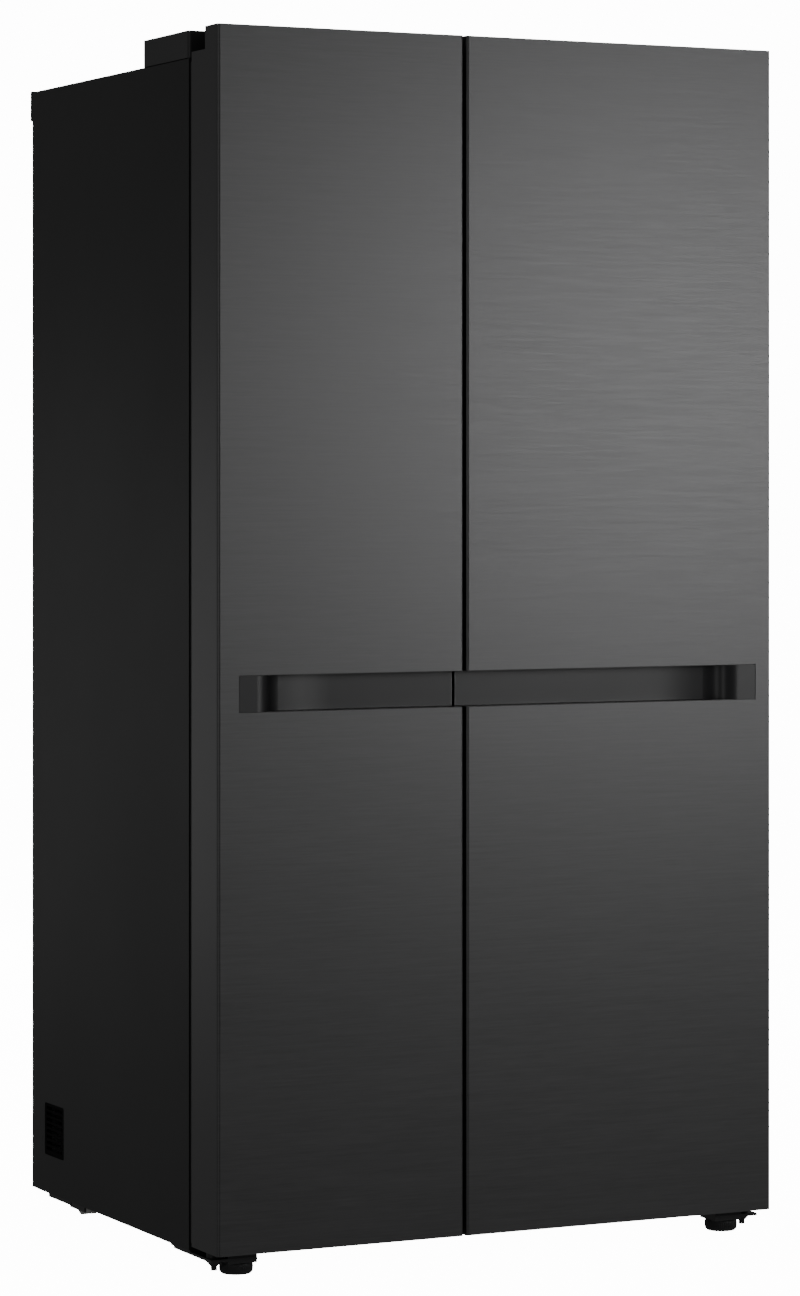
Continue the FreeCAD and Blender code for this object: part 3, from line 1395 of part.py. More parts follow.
outer_shell()
back_panel()
bottom_plate()
liner(FREEZER, FREEZER_SHELVES)
liner(FRIDGE, FRIDGE_SHELVES)
insulation_foam()
mullion_cover()
rear_spacers()
side_vents()
base_frame()
node("lower_hinges", *[lower_hinge(side) for side in SIDES])
node("top_hinges", *[top_hinge(side) for side in SIDES])
node("hinge_covers", *[hinge_cover(side) for side in SIDES])
control_box()
machine_base()
for side, bins in ((FREEZER, FREEZER_BINS), (FRIDGE, FRIDGE_BINS)):
    levelling_foot(side)
    rear_roller(side)
    door_skin(side)
    door_caps(side)
    grip_insert(side)
    door_foam(side)
    door_liner(side, bins)
    door_gasket(side)
    door_bins(side, bins)

panes, trims = [], []
for side, shelves in ((FREEZER, FREEZER_SHELVES), (FRIDGE, FRIDGE_SHELVES)):
    more_panes, more_trims = shelf_set(side, shelves)
    panes += more_panes
    trims += more_trims
node("shelf_panes", *panes)
node("shelf_trims", *trims)

drawer("freezer_drawer_lower", FREEZER, "floor_level + 4", "step_z - 22", "step_y - 8")
drawer("freezer_drawer_upper", FREEZER, "step_z + 4", "step_z + 172", "evap_front - 16")
drawer("crisper_lower", FRIDGE, "floor_level + 4", "step_z - 22", "step_y - 8")
drawer("crisper_upper", FRIDGE, "step_z + 4", "step_z + 164", "duct_front - 12")
ice_maker()
evaporator()
evaporator_cover()
freezer_fan()
air_duct()
control_panel()
compressor()
compressor_mounts()
drain_pan()
condenser_coil()
condenser_fan()
machine_cover()

doc.recompute()

# ---------------------------------------------------------------- checks, then one file per sub-part

for made in doc.Objects:
    for fault in ("Invalid", "Error"):
        if fault in made.State:
            raise RuntimeError(f"{made.Label} ({made.Name}) is {fault}")
for owner, made in cuts:
    if made.BaseFeature is None or made.Shape.Volume > made.BaseFeature.Shape.Volume - 1e-3:
        raise RuntimeError(f"a pocket of {owner.Label} takes nothing away")
for name, made in nodes.items():
    shape = made.Shape
    if shape.isNull() or not shape.isValid() or not shape.Solids:
        raise RuntimeError(f"{name} has no valid solid")
    shape.exportStep(f"parts/{name}.step")
print(len(nodes), "sub-parts")
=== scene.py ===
import math

import bpy
import numpy as np
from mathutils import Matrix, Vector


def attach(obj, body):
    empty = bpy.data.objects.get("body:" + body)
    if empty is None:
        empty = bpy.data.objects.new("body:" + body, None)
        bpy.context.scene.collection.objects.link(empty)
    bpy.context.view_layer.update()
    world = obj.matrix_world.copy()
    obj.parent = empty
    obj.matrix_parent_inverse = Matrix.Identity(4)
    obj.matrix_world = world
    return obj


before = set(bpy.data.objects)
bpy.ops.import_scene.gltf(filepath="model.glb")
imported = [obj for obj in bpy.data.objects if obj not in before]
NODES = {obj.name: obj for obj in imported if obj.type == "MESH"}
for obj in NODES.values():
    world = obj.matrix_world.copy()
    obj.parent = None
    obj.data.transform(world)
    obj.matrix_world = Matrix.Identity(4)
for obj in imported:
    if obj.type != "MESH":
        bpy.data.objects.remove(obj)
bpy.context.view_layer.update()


# --- The room: a plain pale floor that runs into white surroundings, a key soft box and weak fills.
# The key stands front right, so its soft reflection lies high on the doors and fades toward the floor.

def lamp(name, place, aim, size, watts, tint=(1.0, 1.0, 1.0)):
    """A rectangular soft box at a place, facing a point; its width and height are in metres."""
    data = bpy.data.lights.new(name, "AREA")
    data.shape = "RECTANGLE"
    data.size, data.size_y = size
    data.energy = watts
    data.color = tint
    made = bpy.data.objects.new(name, data)
    made.location = place
    toward = np.subtract(aim, place)
    made.rotation_euler = Vector(toward).to_track_quat("-Z", "Y").to_euler()
    bpy.context.collection.objects.link(made)
    return made


room_glow = 14.0  # the surroundings and the floor shine alike, so no horizon shows

lamp("soft_box_key", (2.25, -3.8, 1.42), (0.22, -0.37, 1.27), (1.0, 1.2), 34)
lamp("soft_box_side", (-1.9, 3.2, 0.66), (-0.456, 0, 0.8), (1.1, 1.3), 2.2)
lamp("soft_box_edge", (-4.1, -2.0, 1.0), (-0.456, -0.367, 0.9), (0.5, 2.4), 14)
lamp("soft_box_back", (0.9, 4.3, 1.7), (0.1, 0.36, 0.9), (2.0, 2.0), 55)
lamp("soft_box_right", (4.6, 0.9, 1.3), (0.456, 0.1, 0.9), (1.6, 2.0), 30)
lamp("soft_box_top", (0.2, 0.2, 4.6), (0, 0, 0), (2.4, 2.4), 22)

world = bpy.data.worlds.new("studio")
bpy.context.scene.world = world
world.use_nodes = True
tree = world.node_tree
tree.nodes.clear()
sky = {}
for part, strength in (("seen", room_glow), ("light", 0.14)):
    sky[part] = tree.nodes.new("ShaderNodeBackground")
    sky[part].inputs["Color"].default_value = (1, 1, 1, 1)
    sky[part].inputs["Strength"].default_value = strength
path = tree.nodes.new("ShaderNodeLightPath")
mix = tree.nodes.new("ShaderNodeMixShader")
out = tree.nodes.new("ShaderNodeOutputWorld")
tree.links.new(path.outputs["Is Camera Ray"], mix.inputs["Fac"])
tree.links.new(sky["light"].outputs[0], mix.inputs[1])
tree.links.new(sky["seen"].outputs[0], mix.inputs[2])
tree.links.new(mix.outputs[0], out.inputs["Surface"])

camera_data = bpy.data.cameras.new("camera")
camera_data.sensor_width = 36
camera_data.lens = 119.2
camera_data.shift_y = -0.1342
camera = bpy.data.objects.new("camera", camera_data)
camera.location = (-2.9044, -5.9604, 1.1487)
camera.rotation_euler = (math.radians(90), 0, -0.455)
bpy.context.collection.objects.link(camera)
bpy.context.scene.camera = camera


def mesh_piece(name, points, faces, smooth=True):
    """A new object from arrays of points and of faces, standing at the origin."""
    mesh = bpy.data.meshes.new(name)
    mesh.from_pydata(
        np.asarray(points, float).reshape(-1, 3).tolist(), [], [list(map(int, f)) for f in faces],
    )
    mesh.validate()
    mesh.polygons.foreach_set("use_smooth", np.full(len(mesh.polygons), smooth))
    made = bpy.data.objects.new(name, mesh)
    bpy.context.collection.objects.link(made)
    return made


def grid_faces(rows, columns, closed_rows=False, closed_columns=False, start=0):
    """Quads joining a grid of points, row by row; either direction may join up with its start."""
    r = np.arange(rows if closed_rows else rows - 1)
    c = np.arange(columns if closed_columns else columns - 1)
    r, c = (a.ravel() for a in np.meshgrid(r, c, indexing="ij"))
    up, over = (r + 1) % rows, (c + 1) % columns
    return start + np.stack(
        [r * columns + c, r * columns + over, up * columns + over, up * columns + c], 1,
    )


floor_half, floor_drop, floor_lines = 40, 0.0004, 25
floor_u, floor_v = np.meshgrid(*[np.linspace(-1, 1, floor_lines)] * 2, indexing="ij")
floor = mesh_piece(
    "studio_floor",
    np.stack([floor_u * floor_half, floor_v * floor_half, floor_u * 0 - floor_drop], -1),
    grid_faces(floor_lines, floor_lines),
)
floor.visible_diffuse = floor.visible_glossy = floor.visible_transmission = False


def material(name, color, roughness, metallic=0.0, **sockets):
    """A Principled surface whose fixed numbers sit on its own sockets; returns it with its node tree."""
    made = bpy.data.materials.new(name)
    made.use_nodes = True
    shader = made.node_tree.nodes["Principled BSDF"]
    shader.inputs["Base Color"].default_value = (*color, 1)
    shader.inputs["Roughness"].default_value = roughness
    shader.inputs["Metallic"].default_value = metallic
    for socket, value in sockets.items():
        shader.inputs[socket.replace("_", " ")].default_value = value
    return made


# --- Case wrap: thin steel sheet bent over both sides and the top, painted near black.
# The paint has a faint orange-peel skin and random patches a little darker in tone.

def group(name, inputs, outputs):
    """A new shader node group with named inputs (name: default) and outputs (name: socket kind)."""
    made = bpy.data.node_groups.new(name, "ShaderNodeTree")
    for label, default in inputs.items():
        kind = "NodeSocketColor" if isinstance(default, tuple) else "NodeSocketFloat"
        socket = made.interface.new_socket(name=label, in_out="INPUT", socket_type=kind)
        socket.default_value = default
    for label, kind in outputs.items():
        made.interface.new_socket(name=label, in_out="OUTPUT", socket_type="NodeSocket" + kind)
    return made, made.nodes.new("NodeGroupInput"), made.nodes.new("NodeGroupOutput")


def node(tree, kind, links=None, **values):
    """A node of a kind, with its properties set and its inputs linked or given numbers."""
    made = tree.nodes.new("ShaderNode" + kind)
    for name, value in values.items():
        setattr(made, name, value)
    for key, source in (links or {}).items():
        if isinstance(source, bpy.types.NodeSocket):
            tree.links.new(source, made.inputs[key])
        else:
            made.inputs[key].default_value = source
    return made


def skin_group():
    """Moulded or painted skin: two noises mix two shades, shift the gloss and lift small bumps."""
    tree, given, result = group(
        "moulded_skin",
        {"Color": (0.5, 0.5, 0.5, 1), "Shade": 0.9, "Patch": 6.0, "Grain": 900.0, "Gloss": 0.4,
         "Gloss Change": 0.08,
         "Bump": 0.1, "Bump Height": 0.0002},
        {"Color": "Color", "Roughness": "Float", "Normal": "Vector"},
    )
    spot = node(tree, "TexCoord").outputs["Object"]
    patch = node(
        tree,
        "TexNoise",
        {"Vector": spot, "Scale": given.outputs["Patch"], "Detail": 4.0, "Roughness": 0.6},
    )
    grain = node(tree, "TexNoise", {"Vector": spot, "Scale": given.outputs["Grain"], "Detail": 2.0})
    darker = node(
        tree,
        "MixRGB",
        {0: 1.0, 1: given.outputs["Color"], 2: given.outputs["Shade"]},
        blend_type="MULTIPLY",
    )
    blend = node(
        tree, "MixRGB", {0: patch.outputs["Fac"], 1: given.outputs["Color"], 2: darker.outputs[0]},
    )
    off = node(tree, "Math", {0: patch.outputs["Fac"], 1: 0.5}, operation="SUBTRACT")
    gloss = node(
        tree,
        "Math",
        {0: off.outputs[0], 1: given.outputs["Gloss Change"], 2: given.outputs["Gloss"]},
        operation="MULTIPLY_ADD",
    )
    bump = node(
        tree,
        "Bump",
        {
            "Strength": given.outputs["Bump"],
            "Distance": given.outputs["Bump Height"],
            "Height": grain.outputs["Fac"],
        },
    )
    tree.links.new(blend.outputs[0], result.inputs["Color"])
    tree.links.new(gloss.outputs[0], result.inputs["Roughness"])
    tree.links.new(bump.outputs[0], result.inputs["Normal"])
    return tree


SKIN = skin_group()


def feed(made, effect, values, outputs=("Color", "Roughness", "Normal")):
    """Places a node group in a material with its own values and lets its outputs feed the shader."""
    tree = made.node_tree
    shader = tree.nodes["Principled BSDF"]
    use = tree.nodes.new("ShaderNodeGroup")
    use.node_tree = effect
    for label, value in values.items():
        use.inputs[label].default_value = value
    for label in outputs:
        tree.links.new(use.outputs[label], shader.inputs["Base Color" if label == "Color" else label])
    return made


def skinned(
    name, color, roughness, metallic=0.0, shade=0.9, patch=6.0, grain=900.0, change=0.08, bump=0.1,
    height=0.0002, **sockets,
):
    """A material with the moulded skin feeding its colour, roughness and normal."""
    made = material(name, color, roughness, metallic, **sockets)
    values = {"Color": (*color, 1), "Shade": shade, "Patch": patch, "Grain": grain, "Gloss": roughness,
              "Gloss Change": change, "Bump": bump, "Bump Height": height}
    return feed(made, SKIN, values)


def finish_node(paint, *names):
    """Gives CAD nodes a better material in every slot."""
    for name in names:
        for slot in NODES[name].material_slots:
            slot.material = paint


floor_white = skinned(
    "floor_white", (0.9, 0.9, 0.9), 0.9, shade=0.97, patch=0.5, bump=0.02,
    Specular_IOR_Level=0.0, Emission_Color=(1, 1, 1, 1), Emission_Strength=room_glow,
)
floor.data.materials.append(floor_white)

case_paint = skinned(
    "case_paint", (0.0172, 0.0172, 0.0174), 0.5, shade=0.75, patch=2.2, grain=420, bump=0.25,
    height=0.0003, Specular_IOR_Level=0.3,
)
finish_node(case_paint, "outer_shell")


# --- Door skins: dark pre-coated steel with a hairline finish brushed from side to side.
# Each is one sheet bent round the front and both edges of its door.

def hairline_group():
    """Brushed sheet: noise squeezed along one axis gives hairlines in shade, gloss and bump."""
    tree, given, result = group(
        "hairline",
        {"Color": (0.5, 0.5, 0.5, 1), "Contrast": 0.2, "Gloss": 0.35, "Gloss Change": 0.1, "Bump": 0.2},
        {"Color": "Color", "Roughness": "Float", "Normal": "Vector"},
    )
    spot = node(tree, "TexCoord").outputs["Object"]
    long = node(tree, "Mapping", {"Vector": spot, "Scale": (9.0, 9.0, 330.0)})
    fine = node(tree, "Mapping", {"Vector": spot, "Scale": (30.0, 30.0, 1500.0)})
    broad = node(
        tree, "TexNoise", {"Vector": long.outputs[0], "Scale": 1.0, "Detail": 3.0, "Roughness": 0.65},
    )
    hair = node(
        tree, "TexNoise", {"Vector": fine.outputs[0], "Scale": 1.0, "Detail": 2.0, "Roughness": 0.6},
    )
    both = node(tree, "Math", {0: broad.outputs["Fac"], 1: hair.outputs["Fac"]}, operation="ADD")
    signed = node(tree, "Math", {0: both.outputs[0], 1: 1.0}, operation="SUBTRACT")
    gain = node(
        tree,
        "Math",
        {0: signed.outputs[0], 1: given.outputs["Contrast"], 2: 1.0},
        operation="MULTIPLY_ADD",
    )
    shade = node(
        tree, "VectorMath", {0: given.outputs["Color"], "Scale": gain.outputs[0]}, operation="SCALE",
    )
    gloss = node(
        tree,
        "Math",
        {0: signed.outputs[0], 1: given.outputs["Gloss Change"], 2: given.outputs["Gloss"]},
        operation="MULTIPLY_ADD",
    )
    bump = node(
        tree, "Bump", {"Strength": given.outputs["Bump"], "Distance": 0.0001, "Height": both.outputs[0]},
    )
    tree.links.new(shade.outputs[0], result.inputs["Color"])
    tree.links.new(gloss.outputs[0], result.inputs["Roughness"])
    tree.links.new(bump.outputs[0], result.inputs["Normal"])
    return tree


HAIRLINE = hairline_group()


def brushed(name, color, roughness, contrast, change, bump, **sockets):
    """A metal with the hairline finish feeding its colour, roughness and normal."""
    made = material(name, color, roughness, 1.0, **sockets)
    values = {
        "Color": (*color, 1), "Contrast": contrast, "Gloss": roughness, "Gloss Change": change,
        "Bump": bump,
    }
    return feed(made, HAIRLINE, values)


door_steel = brushed("door_steel", (0.1, 0.1, 0.101), 0.42, 0.35, 0.12, 0.25)
finish_node(door_steel, "freezer_door_skin", "fridge_door_skin")


# --- Black moulded plastic: grip channels, hinge covers, door end caps, feet and wall stops.
# Injection moulded with a fine spark-eroded texture.

grip_plastic = skinned(
    "grip_plastic", (0.0155, 0.0155, 0.017), 0.38, shade=0.8, grain=1400, bump=0.12,
    Specular_IOR_Level=0.5,
)
black_plastic = skinned(
    "black_plastic", (0.014, 0.014, 0.015), 0.45, shade=0.8, grain=1100, bump=0.3, Specular_IOR_Level=0.4,
)
finish_node(grip_plastic, "freezer_grip_channel", "fridge_grip_channel")
cover_plastic = skinned(
    "cover_plastic", (0.026, 0.026, 0.0265), 0.42, shade=0.85, grain=1100, bump=0.3,
    Specular_IOR_Level=0.4,
)
finish_node(cover_plastic, "hinge_covers")
finish_node(black_plastic, "freezer_door_caps", "fridge_door_caps", "rear_spacers",
            "levelling_foot_left", "levelling_foot_right", "cord_gland", "drain_pan",
            "condenser_fan_shroud", "condenser_fan", "freezer_fan")


# --- Zinc-plated steel: back sheet, machine cover, top hinges and the circuit board box; bottom plate, base frame, machine base and lower hinges are black.
# Hot-dip zinc shows a spangle of dull and bright crystals.

def spangle_group():
    """Zinc spangle: random cells change shade and gloss."""
    tree, given, result = group(
        "spangle",
        {"Color": (0.5, 0.5, 0.5, 1), "Cells": 90.0, "Gloss": 0.4},
        {"Color": "Color", "Roughness": "Float"},
    )
    spot = node(tree, "TexCoord").outputs["Object"]
    cells = node(tree, "TexVoronoi", {"Vector": spot, "Scale": given.outputs["Cells"]})
    grey = node(tree, "RGBToBW", {0: cells.outputs["Color"]})
    tone = node(tree, "Math", {0: grey.outputs[0], 1: 0.22, 2: 0.86}, operation="MULTIPLY_ADD")
    shade = node(
        tree, "VectorMath", {0: given.outputs["Color"], "Scale": tone.outputs[0]}, operation="SCALE",
    )
    gloss = node(
        tree, "Math", {0: grey.outputs[0], 1: 0.2, 2: given.outputs["Gloss"]}, operation="MULTIPLY_ADD",
    )
    tree.links.new(shade.outputs[0], result.inputs["Color"])
    tree.links.new(gloss.outputs[0], result.inputs["Roughness"])
    return tree


zinc = material("zinc_steel", (0.5, 0.51, 0.53), 0.4, 0.9)
feed(zinc, spangle_group(), {"Color": (0.46, 0.47, 0.49, 1), "Gloss": 0.34}, ("Color", "Roughness"))
finish_node(
    zinc, "back_panel", "machine_cover", "top_hinges", "control_box", "mullion_cover",
    "freezer_fan_motor",
)
chassis_black = skinned(
    "chassis_black", (0.011, 0.011, 0.0115), 0.45, shade=0.75, patch=9, grain=500, bump=0.25,
)
finish_node(chassis_black, "bottom_plate", "base_frame", "machine_base", "lower_hinges")


# --- Inside: white polystyrene tubs and door liners, vacuum formed over moulds and backed by foam.
# Shelves are tempered glass in grey trims; drawers and bins are clear moulded polystyrene, set in.
# The evaporator is aluminium; the compressor and condenser are enamelled black, on rubber mounts.

liner_white = skinned(
    "liner_white", (0.8, 0.815, 0.825), 0.3, shade=0.94, patch=3, grain=260, bump=0.08, height=0.0004,
)
finish_node(liner_white, "freezer_liner", "fridge_liner", "freezer_door_liner", "fridge_door_liner",
            "evaporator_cover", "air_duct",
            "freezer_button", "fridge_button")
grey_plastic = skinned("grey_plastic", (0.33, 0.34, 0.36), 0.38, shade=0.92, grain=1000, bump=0.1)
finish_node(
    grey_plastic, "shelf_trims", "ice_maker_frame", "ice_tray_left", "ice_tray_right", "control_panel",
)
gasket_rubber = skinned("gasket_rubber", (0.2, 0.2, 0.21), 0.6, shade=0.85, patch=20, grain=700, bump=0.2)
finish_node(gasket_rubber, "freezer_door_gasket", "fridge_door_gasket")
foam = skinned("foam", (0.75, 0.62, 0.35), 0.9, shade=0.8, patch=30, grain=300, bump=0.8, height=0.001)
finish_node(foam, "insulation_foam", "freezer_door_foam", "fridge_door_foam")
clear = skinned(
    "clear_plastic", (0.965, 0.98, 0.985), 0.06, shade=0.98, change=0.03, bump=0.03,
    Transmission_Weight=0.92, IOR=1.49,
)
finish_node(clear, "freezer_door_bins", "fridge_door_bins", "freezer_drawer_lower",
            "freezer_drawer_upper", "crisper_lower",
            "crisper_upper", "ice_bin")
shelf_glass = skinned(
    "shelf_glass", (0.93, 0.975, 0.96), 0.02, shade=0.99, change=0.01, bump=0.0,
    Transmission_Weight=0.95, IOR=1.5,
)
finish_node(shelf_glass, "shelf_panes")
lens = skinned(
    "lamp_lens", (0.93, 0.94, 0.92), 0.4, shade=0.97, bump=0.05, Emission_Color=(1, 0.97, 0.92, 1),
    Emission_Strength=40.0,
)
finish_node(lens, "lamp_lenses")
fins = skinned("fin_aluminium", (0.75, 0.76, 0.78), 0.35, 1.0, shade=0.85, grain=500)
finish_node(fins, "evaporator")
black_enamel = skinned(
    "black_enamel", (0.012, 0.012, 0.013), 0.22, shade=0.7, patch=14, grain=300, bump=0.15,
    Coat_Weight=0.3,
)
finish_node(black_enamel, "compressor", "condenser_coil")
mount_rubber = skinned("mount_rubber", (0.025, 0.024, 0.023), 0.75, shade=0.8, grain=500, bump=0.4)
finish_node(mount_rubber, "compressor_mounts")
nylon = skinned("roller_nylon", (0.42, 0.42, 0.4), 0.45, shade=0.88, grain=600, bump=0.15)
finish_node(nylon, "rear_roller_left", "rear_roller_right")

# --- Side vents: moulded grilles low on both sides, at the height of the condenser fan.
# Their fine ribs are matt black polypropylene, coloured far darker than that plastic to paint the shade
# of the recess onto them.

# Near-zero colour: painted shade, so the louvre reads as one dark hollow.
vent_painted_shade = skinned(
    "vent_painted_shade", (0.002, 0.002, 0.002), 0.85, shade=0.7, grain=700, bump=0.2, Specular_IOR_Level=0.1,
)
finish_node(vent_painted_shade, "side_vents")


def tube(path, radius, sides=12, ripple=0.0, waves=0.0):
    """Points and faces of a round pipe along a path; a ripple makes it ribbed.

    At length s and angle t a point is path(s) + (radius + ripple cos(2 pi waves s)) (cos t N + sin t B).
    N starts square to the path and is carried along it without twisting.
    """
    path = np.asarray(path, float)
    ahead = np.gradient(path, axis=0)
    ahead /= np.linalg.norm(ahead, axis=1)[:, None]
    side = np.cross(ahead[0], (0.31, 0.87, 0.39))
    carried = []
    for direction in ahead:
        side = side - direction * (side @ direction)
        side = side / np.linalg.norm(side)
        carried.append(side)
    first = np.array(carried)
    second = np.cross(ahead, first)
    length = np.concatenate([[0], np.cumsum(np.linalg.norm(np.diff(path, axis=0), axis=1))])
    size = radius + ripple * np.cos(2 * np.pi * waves * length)
    t = np.linspace(0, 2 * np.pi, sides, endpoint=False)
    ring = first[:, None] * np.cos(t)[:, None] + second[:, None] * np.sin(t)[:, None]
    points = path[:, None] + ring * size[:, None, None]
    return points.reshape(-1, 3), grid_faces(len(path), sides, closed_columns=True)


def bent(corners, radius, step=0.002):
    """A path through corners with every inner corner rounded by a quadratic curve of the given reach."""
    corners = np.asarray(corners, float)
    spots = [corners[0]]
    for before, here, after in zip(corners, corners[1:], corners[2:]):
        u, v = before - here, after - here
        reach = min(radius, np.linalg.norm(u) / 2, np.linalg.norm(v) / 2)
        a = here + u / np.linalg.norm(u) * reach
        b = here + v / np.linalg.norm(v) * reach
        for k in np.linspace(0, 1, 9):
            spots.append((1 - k) ** 2 * a + 2 * k * (1 - k) * here + k**2 * b)
    spots = np.array(spots + [corners[-1]])
    length = np.concatenate([[0], np.cumsum(np.linalg.norm(np.diff(spots, axis=0), axis=1))])
    at = np.linspace(0, length[-1], max(8, int(length[-1] / step)))
    return np.stack([np.interp(at, length, spots[:, k]) for k in range(3)], 1)


def joined(name, parts, paint, body_name, smooth=True):
    """One piece made of several surfaces, painted and riding on a body."""
    points, faces, start = [], [], 0
    for some, quads in parts:
        points.append(np.asarray(some).reshape(-1, 3))
        faces.append(np.asarray(quads) + start)
        start += len(points[-1])
    made = mesh_piece(name, np.concatenate(points), np.concatenate(faces), smooth)
    made.data.materials.append(paint)
    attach(made, body_name)
    return made


# --- Outer door seals: a rubber lip round the back edge of each door, outside the magnet gasket; its grey is the rubber's own, raised to paint light into the shaded gap.
# Extruded rubber; it closes the view into the gap and stays clear of the case when the door turns.

def lip_loop(x_low, x_high, z_low, z_high):
    """A bead round a rounded rectangle: the half ellipse (a cos t, b sin t) swept along the edge."""
    corner, half_wide, deep, door_back = 0.004, 0.001, 0.0032, -0.2704
    turn = np.linspace(0, np.pi / 2, 7)
    centres = [(x_high - corner, z_high - corner), (x_low + corner, z_high - corner),
               (x_low + corner, z_low + corner), (x_high - corner, z_low + corner)]
    loop = []
    for number, (cx, cz) in enumerate(centres):
        for angle in turn + number * np.pi / 2:
            loop.append(
                (cx + corner * np.cos(angle), cz + corner * np.sin(angle), np.cos(angle), np.sin(angle))
            )
    loop = np.array(loop)
    t = np.linspace(0, np.pi, 9)
    across, bulge = half_wide * np.cos(t), deep * np.sin(t)
    points = np.stack([loop[:, None, 0] + loop[:, None, 2] * across,
                       np.full((len(loop), 9), door_back) + bulge,
                       loop[:, None, 1] + loop[:, None, 3] * across], -1)
    return points, grid_faces(len(loop), 9, closed_rows=True)


# Lightened grey: painted light, so the shaded gap between door and case does not read black.
lip_rubber_painted_light = skinned("lip_rubber_painted_light", (0.085, 0.085, 0.087), 0.55, shade=0.85, patch=20, grain=700, bump=0.2)
joined("freezer_door_lip", [lip_loop(-0.4545, -0.0665, 0.038, 1.745)], lip_rubber_painted_light, "freezer_door")
joined("fridge_door_lip", [lip_loop(-0.0575, 0.4545, 0.038, 1.745)], lip_rubber_painted_light, "fridge_door")


# --- Screws: zinc-plated pan heads with a cross recess, driven through the sheet into clips.
# They hold the back sheet, the rear cover, the wall stops and the lid of the circuit board box.

def pan_head(place, outward, radius=0.0042, high=0.0022):
    """A domed head: height h(r) = high (1 - (r / radius)^4), less a cross 1 mm wide and deep."""
    outward = np.asarray(outward, float)
    across = np.cross(outward, (0.36, 0.48, 0.8))
    across /= np.linalg.norm(across)
    up = np.cross(outward, across)
    r, t = np.meshgrid(np.linspace(0, 1, 9), np.linspace(0, 2 * np.pi, 32, endpoint=False), indexing="ij")
    x, y = r * np.cos(t) * radius, r * np.sin(t) * radius
    narrow = np.minimum(abs(x), abs(y)) < 0.0005
    cross = narrow & (r < 0.62)
    height = high * (1 - r**4) - np.where(cross, 0.001, 0.0)
    points = np.asarray(
        place, float,
    ) + x[..., None] * across + y[..., None] * up + height[..., None] * outward
    return points, grid_faces(9, 32, closed_columns=True)


sheet_back, cover_back, lid_top = 0.3625, 0.3605, 1.776
back_screws = [
    pan_head((x, sheet_back, z), (0, 1, 0))
    for x in (-0.444, 0.444) for z in np.linspace(0.29, 1.68, 7)
]
back_screws += [pan_head((x, sheet_back, 0.262), (0, 1, 0)) for x in np.linspace(-0.36, 0.36, 5)]
cover_screws = [
    pan_head((x, cover_back, z), (0, 1, 0))
    for x in (-0.447, -0.15, 0.15, 0.447) for z in (0.036, 0.24)
]
box_screws = [pan_head((x, y, lid_top), (0, 0, 1)) for x in (-0.108, 0.108) for y in (-0.192, -0.065)]
joined("case_screws", back_screws + cover_screws + box_screws, zinc, "cabinet")


# --- Refrigerant pipes in the machine room: copper, bent cold and brazed.
# The discharge pipe runs over the fan shroud to the condenser; a short pinched stub is the filling port.

copper = skinned(
    "pipe_copper", (0.72, 0.33, 0.2), 0.3, 1.0, shade=0.7, patch=60, grain=400, change=0.25, bump=0.1,
)
discharge = tube(
    bent(
        [
            (0.2, 0.205, 0.16), (0.2, 0.205, 0.2375), (-0.045, 0.205, 0.2375), (-0.045, 0.21, 0.19),
            (-0.068, 0.2105, 0.19),
        ],
        0.02,
    ),
    0.003,
)
suction = tube(
    bent([(0.335, 0.3, 0.16), (0.335, 0.3, 0.236), (0.2, 0.335, 0.236), (0.12, 0.335, 0.2475)], 0.02),
    0.004,
)
stub = tube(bent([(0.33, 0.19, 0.14), (0.36, 0.175, 0.15), (0.36, 0.175, 0.212)], 0.012), 0.0028)
joined("machine_pipes", [discharge, suction, stub], copper, "cabinet")


# --- Defrost drain: a rigid ribbed spout of grey moulded plastic.
# It is pressed into the machine room roof and lets melt water fall from the trough into the drain pan.

spout_grey = skinned("drain_spout_grey", (0.12, 0.12, 0.125), 0.5, shade=0.85, grain=900, bump=0.2)
spout_x, spout_y = -0.21, 0.19
spout_z = np.linspace(0.2475, 0.072, 60)
spout_path = np.stack([np.full(60, spout_x), np.full(60, spout_y), spout_z], 1)
drain = tube(spout_path, 0.0085, 20, 0.0006, 40)
joined("drain_spout", [drain], spout_grey, "cabinet")


# --- Wire ducts: ribbed black mouldings that carry the door wires over the case top.
# Each lies flat and is fixed at both ends, in a hinge cover and in the circuit board box.

ducts = []
for sign in (-1, 1):
    run = bent(
        [
            (sign * 0.3, -0.13, 1.7548), (sign * 0.24, -0.13, 1.7548), (sign * 0.18, -0.105, 1.7548),
            (sign * 0.1205, -0.105, 1.7605),
        ],
        0.03,
        0.0006,
    )
    ducts.append(tube(run, 0.0042, 16, 0.0005, 420))
joined("wire_ducts", ducts, black_plastic, "cabinet")


# --- Levelling feet: moulded black discs on threaded studs, turned by hand to level the case.
# Fine upright ribs round the rim give the fingers a grip; they are moulded in one with the disc.

for label, sign in (("left", -1), ("right", 1)):
    t, z = np.meshgrid(
        np.linspace(0, 2 * np.pi, 288, endpoint=False), np.linspace(0.0042, 0.0148, 9), indexing="ij",
    )
    swell = np.sqrt(np.clip(np.sin((z - 0.0042) / 0.0106 * np.pi), 0, 1))
    reach = 0.02402 + 0.0007 * swell * (0.5 + 0.5 * np.cos(48 * t))
    rim = np.stack([sign * 0.4029 + reach * np.cos(t), -0.3105 + reach * np.sin(t), z], -1)
    joined(
        f"foot_ribs_{label}",
        [(rim, grid_faces(288, 9, closed_rows=True))],
        black_plastic,
        f"levelling_foot_{label}",
    )


# --- Evaporator fan guard: white plastic rings on eight spokes, moulded as one piece.
# It clips in front of the opening in the evaporator cover and keeps fingers off the blades.

def ring(centre, radius, thick, sides=8):
    """A torus about the Y axis."""
    t = np.linspace(0, 2 * np.pi, 73)
    path = np.stack(
        [centre[0] + radius * np.cos(t), np.full(73, centre[1]), centre[2] + radius * np.sin(t)], 1,
    )
    return tube(path, thick, sides)


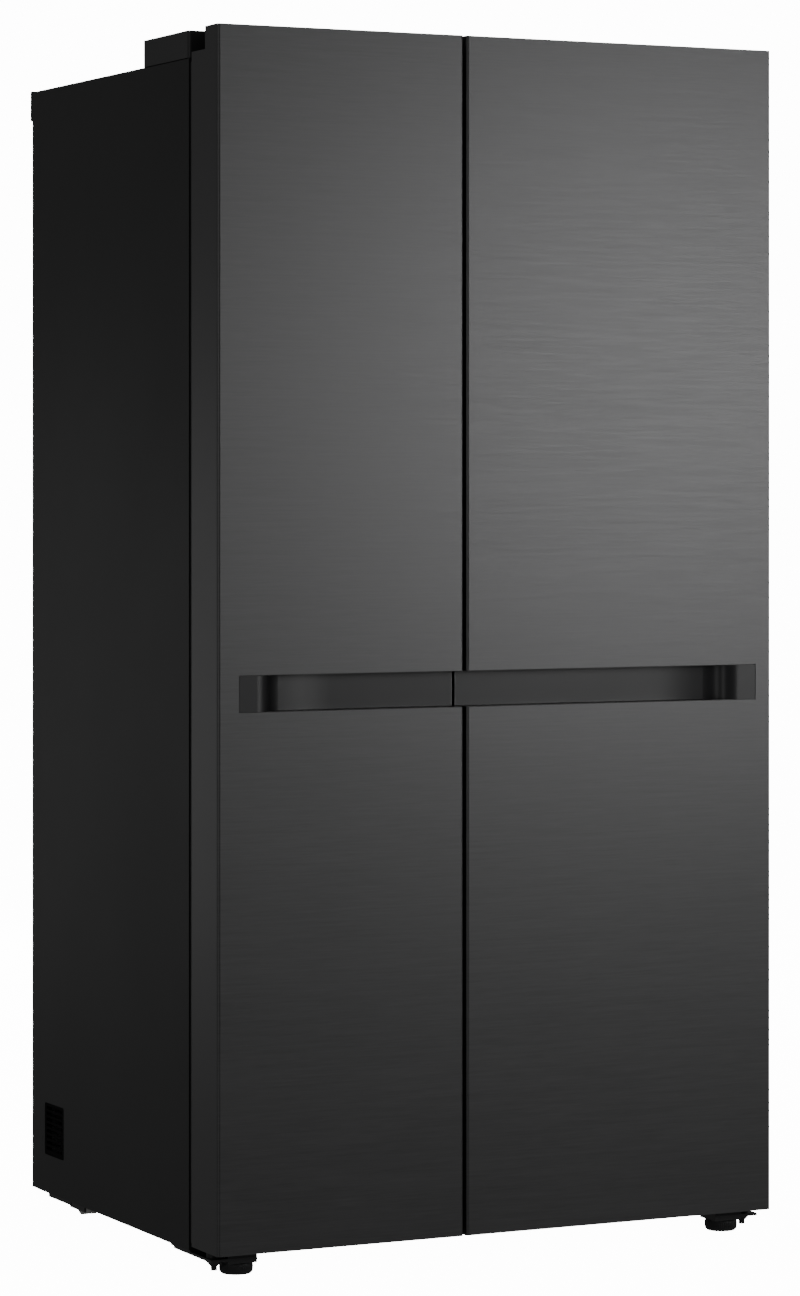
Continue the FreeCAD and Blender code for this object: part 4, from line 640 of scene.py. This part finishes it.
centre = (-0.25025, 0.2362, 0.76)
guard = [ring(centre, r, 0.0013) for r in (0.014, 0.023, 0.032, 0.041, 0.05, 0.0575)]
for angle in np.arange(8) * np.pi / 4:
    u = np.array([np.cos(angle), 0, np.sin(angle)])
    guard.append(tube(np.array(centre) + np.outer(np.linspace(0.013, 0.0575, 8), u), 0.0013, 8))
joined("fan_guard", guard, liner_white, "cabinet")


# --- Bright trim: satin aluminium strips snapped on the shelf noses, drawer fronts and door bins.
# Each is a shallow arch in section, so it catches a line of light along its whole length.

satin = brushed("satin_aluminium", (0.72, 0.73, 0.74), 0.3, 0.15, 0.08, 0.1)


def arch_strip(x_low, x_high, z_low, z_high, y, proud):
    """A strip in the plane y whose face stands proud by proud sin(pi v) toward the sign of proud."""
    u, v = np.meshgrid(np.linspace(0, 1, 40), np.linspace(0, 1, 11), indexing="ij")
    ends = np.clip(np.minimum(u, 1 - u) * (x_high - x_low) / 0.004, 0, 1) ** 0.5
    points = np.stack([x_low + (x_high - x_low) * u, y + proud * (0.25 + 0.75 * np.sin(np.pi * v)) * ends,
                       z_low + (z_high - z_low) * v], -1)
    return points, grid_faces(40, 11)


freezer_x, fridge_x = (-0.401, -0.0995), (-0.0245, 0.401)
front_y, strip_proud = -0.1515, 0.0011
noses = [
    arch_strip(*freezer_x, low + 0.003, low + 0.011, front_y, -strip_proud)
    for low in (0.486, 0.78, 1.06)
]
noses += [
    arch_strip(*fridge_x, low + 0.003, low + 0.011, front_y, -strip_proud)
    for low in (0.478, 0.78, 1.06, 1.34)
]
joined("shelf_trim_strips", noses, satin, "cabinet")
for name, (x_low, x_high), high in (
    (
        "freezer_drawer_lower", (-0.3865, -0.114), 0.278,
    ), ("freezer_drawer_upper", (-0.3865, -0.114), 0.472),
    ("crisper_lower", (-0.01, 0.3865), 0.278), ("crisper_upper", (-0.01, 0.3865), 0.464),
):
    strip = arch_strip(x_low, x_high, high - 0.0125, high - 0.0035, front_y, -strip_proud)
    joined(f"{name}_strip", [strip], satin, name)
for name, (x_low, x_high), lows in (
    ("freezer_door", (-0.356, -0.1445), (0.22, 0.55, 0.88, 1.21)),
    ("fridge_door", (0.0205, 0.356), (0.18, 0.45, 0.72, 0.99, 1.26)),
):
    rails = [arch_strip(x_low, x_high, low + 0.079, low + 0.091, -0.1755, strip_proud) for low in lows]
    joined(f"{name}_bin_strips", rails, satin, name)


# --- Control panel lights: five small domed indicators of clear plastic, lit pale blue from behind.
# They are pressed through the grey panel beside the two keys.

indicator = skinned(
    "indicator_light", (0.75, 0.88, 0.95), 0.3, shade=0.95, Emission_Color=(0.6, 0.85, 1, 1),
    Emission_Strength=2.5,
)
dot_radius, dot_high, panel_y, dots_z = 0.0016, 0.0008, -0.1535, 1.672
dots = []
for x in (0.262, 0.274, 0.286, 0.298, 0.31):
    r, t = np.meshgrid(np.linspace(0, 1, 6), np.linspace(0, 2 * np.pi, 20, endpoint=False), indexing="ij")
    dome = np.stack([x + dot_radius * r * np.cos(t), panel_y - dot_high * np.sqrt(1 - r**2),
                     dots_z + dot_radius * r * np.sin(t)], -1)
    dots.append((dome, grid_faces(6, 20, closed_columns=True)))
joined("panel_indicators", dots, indicator, "cabinet")
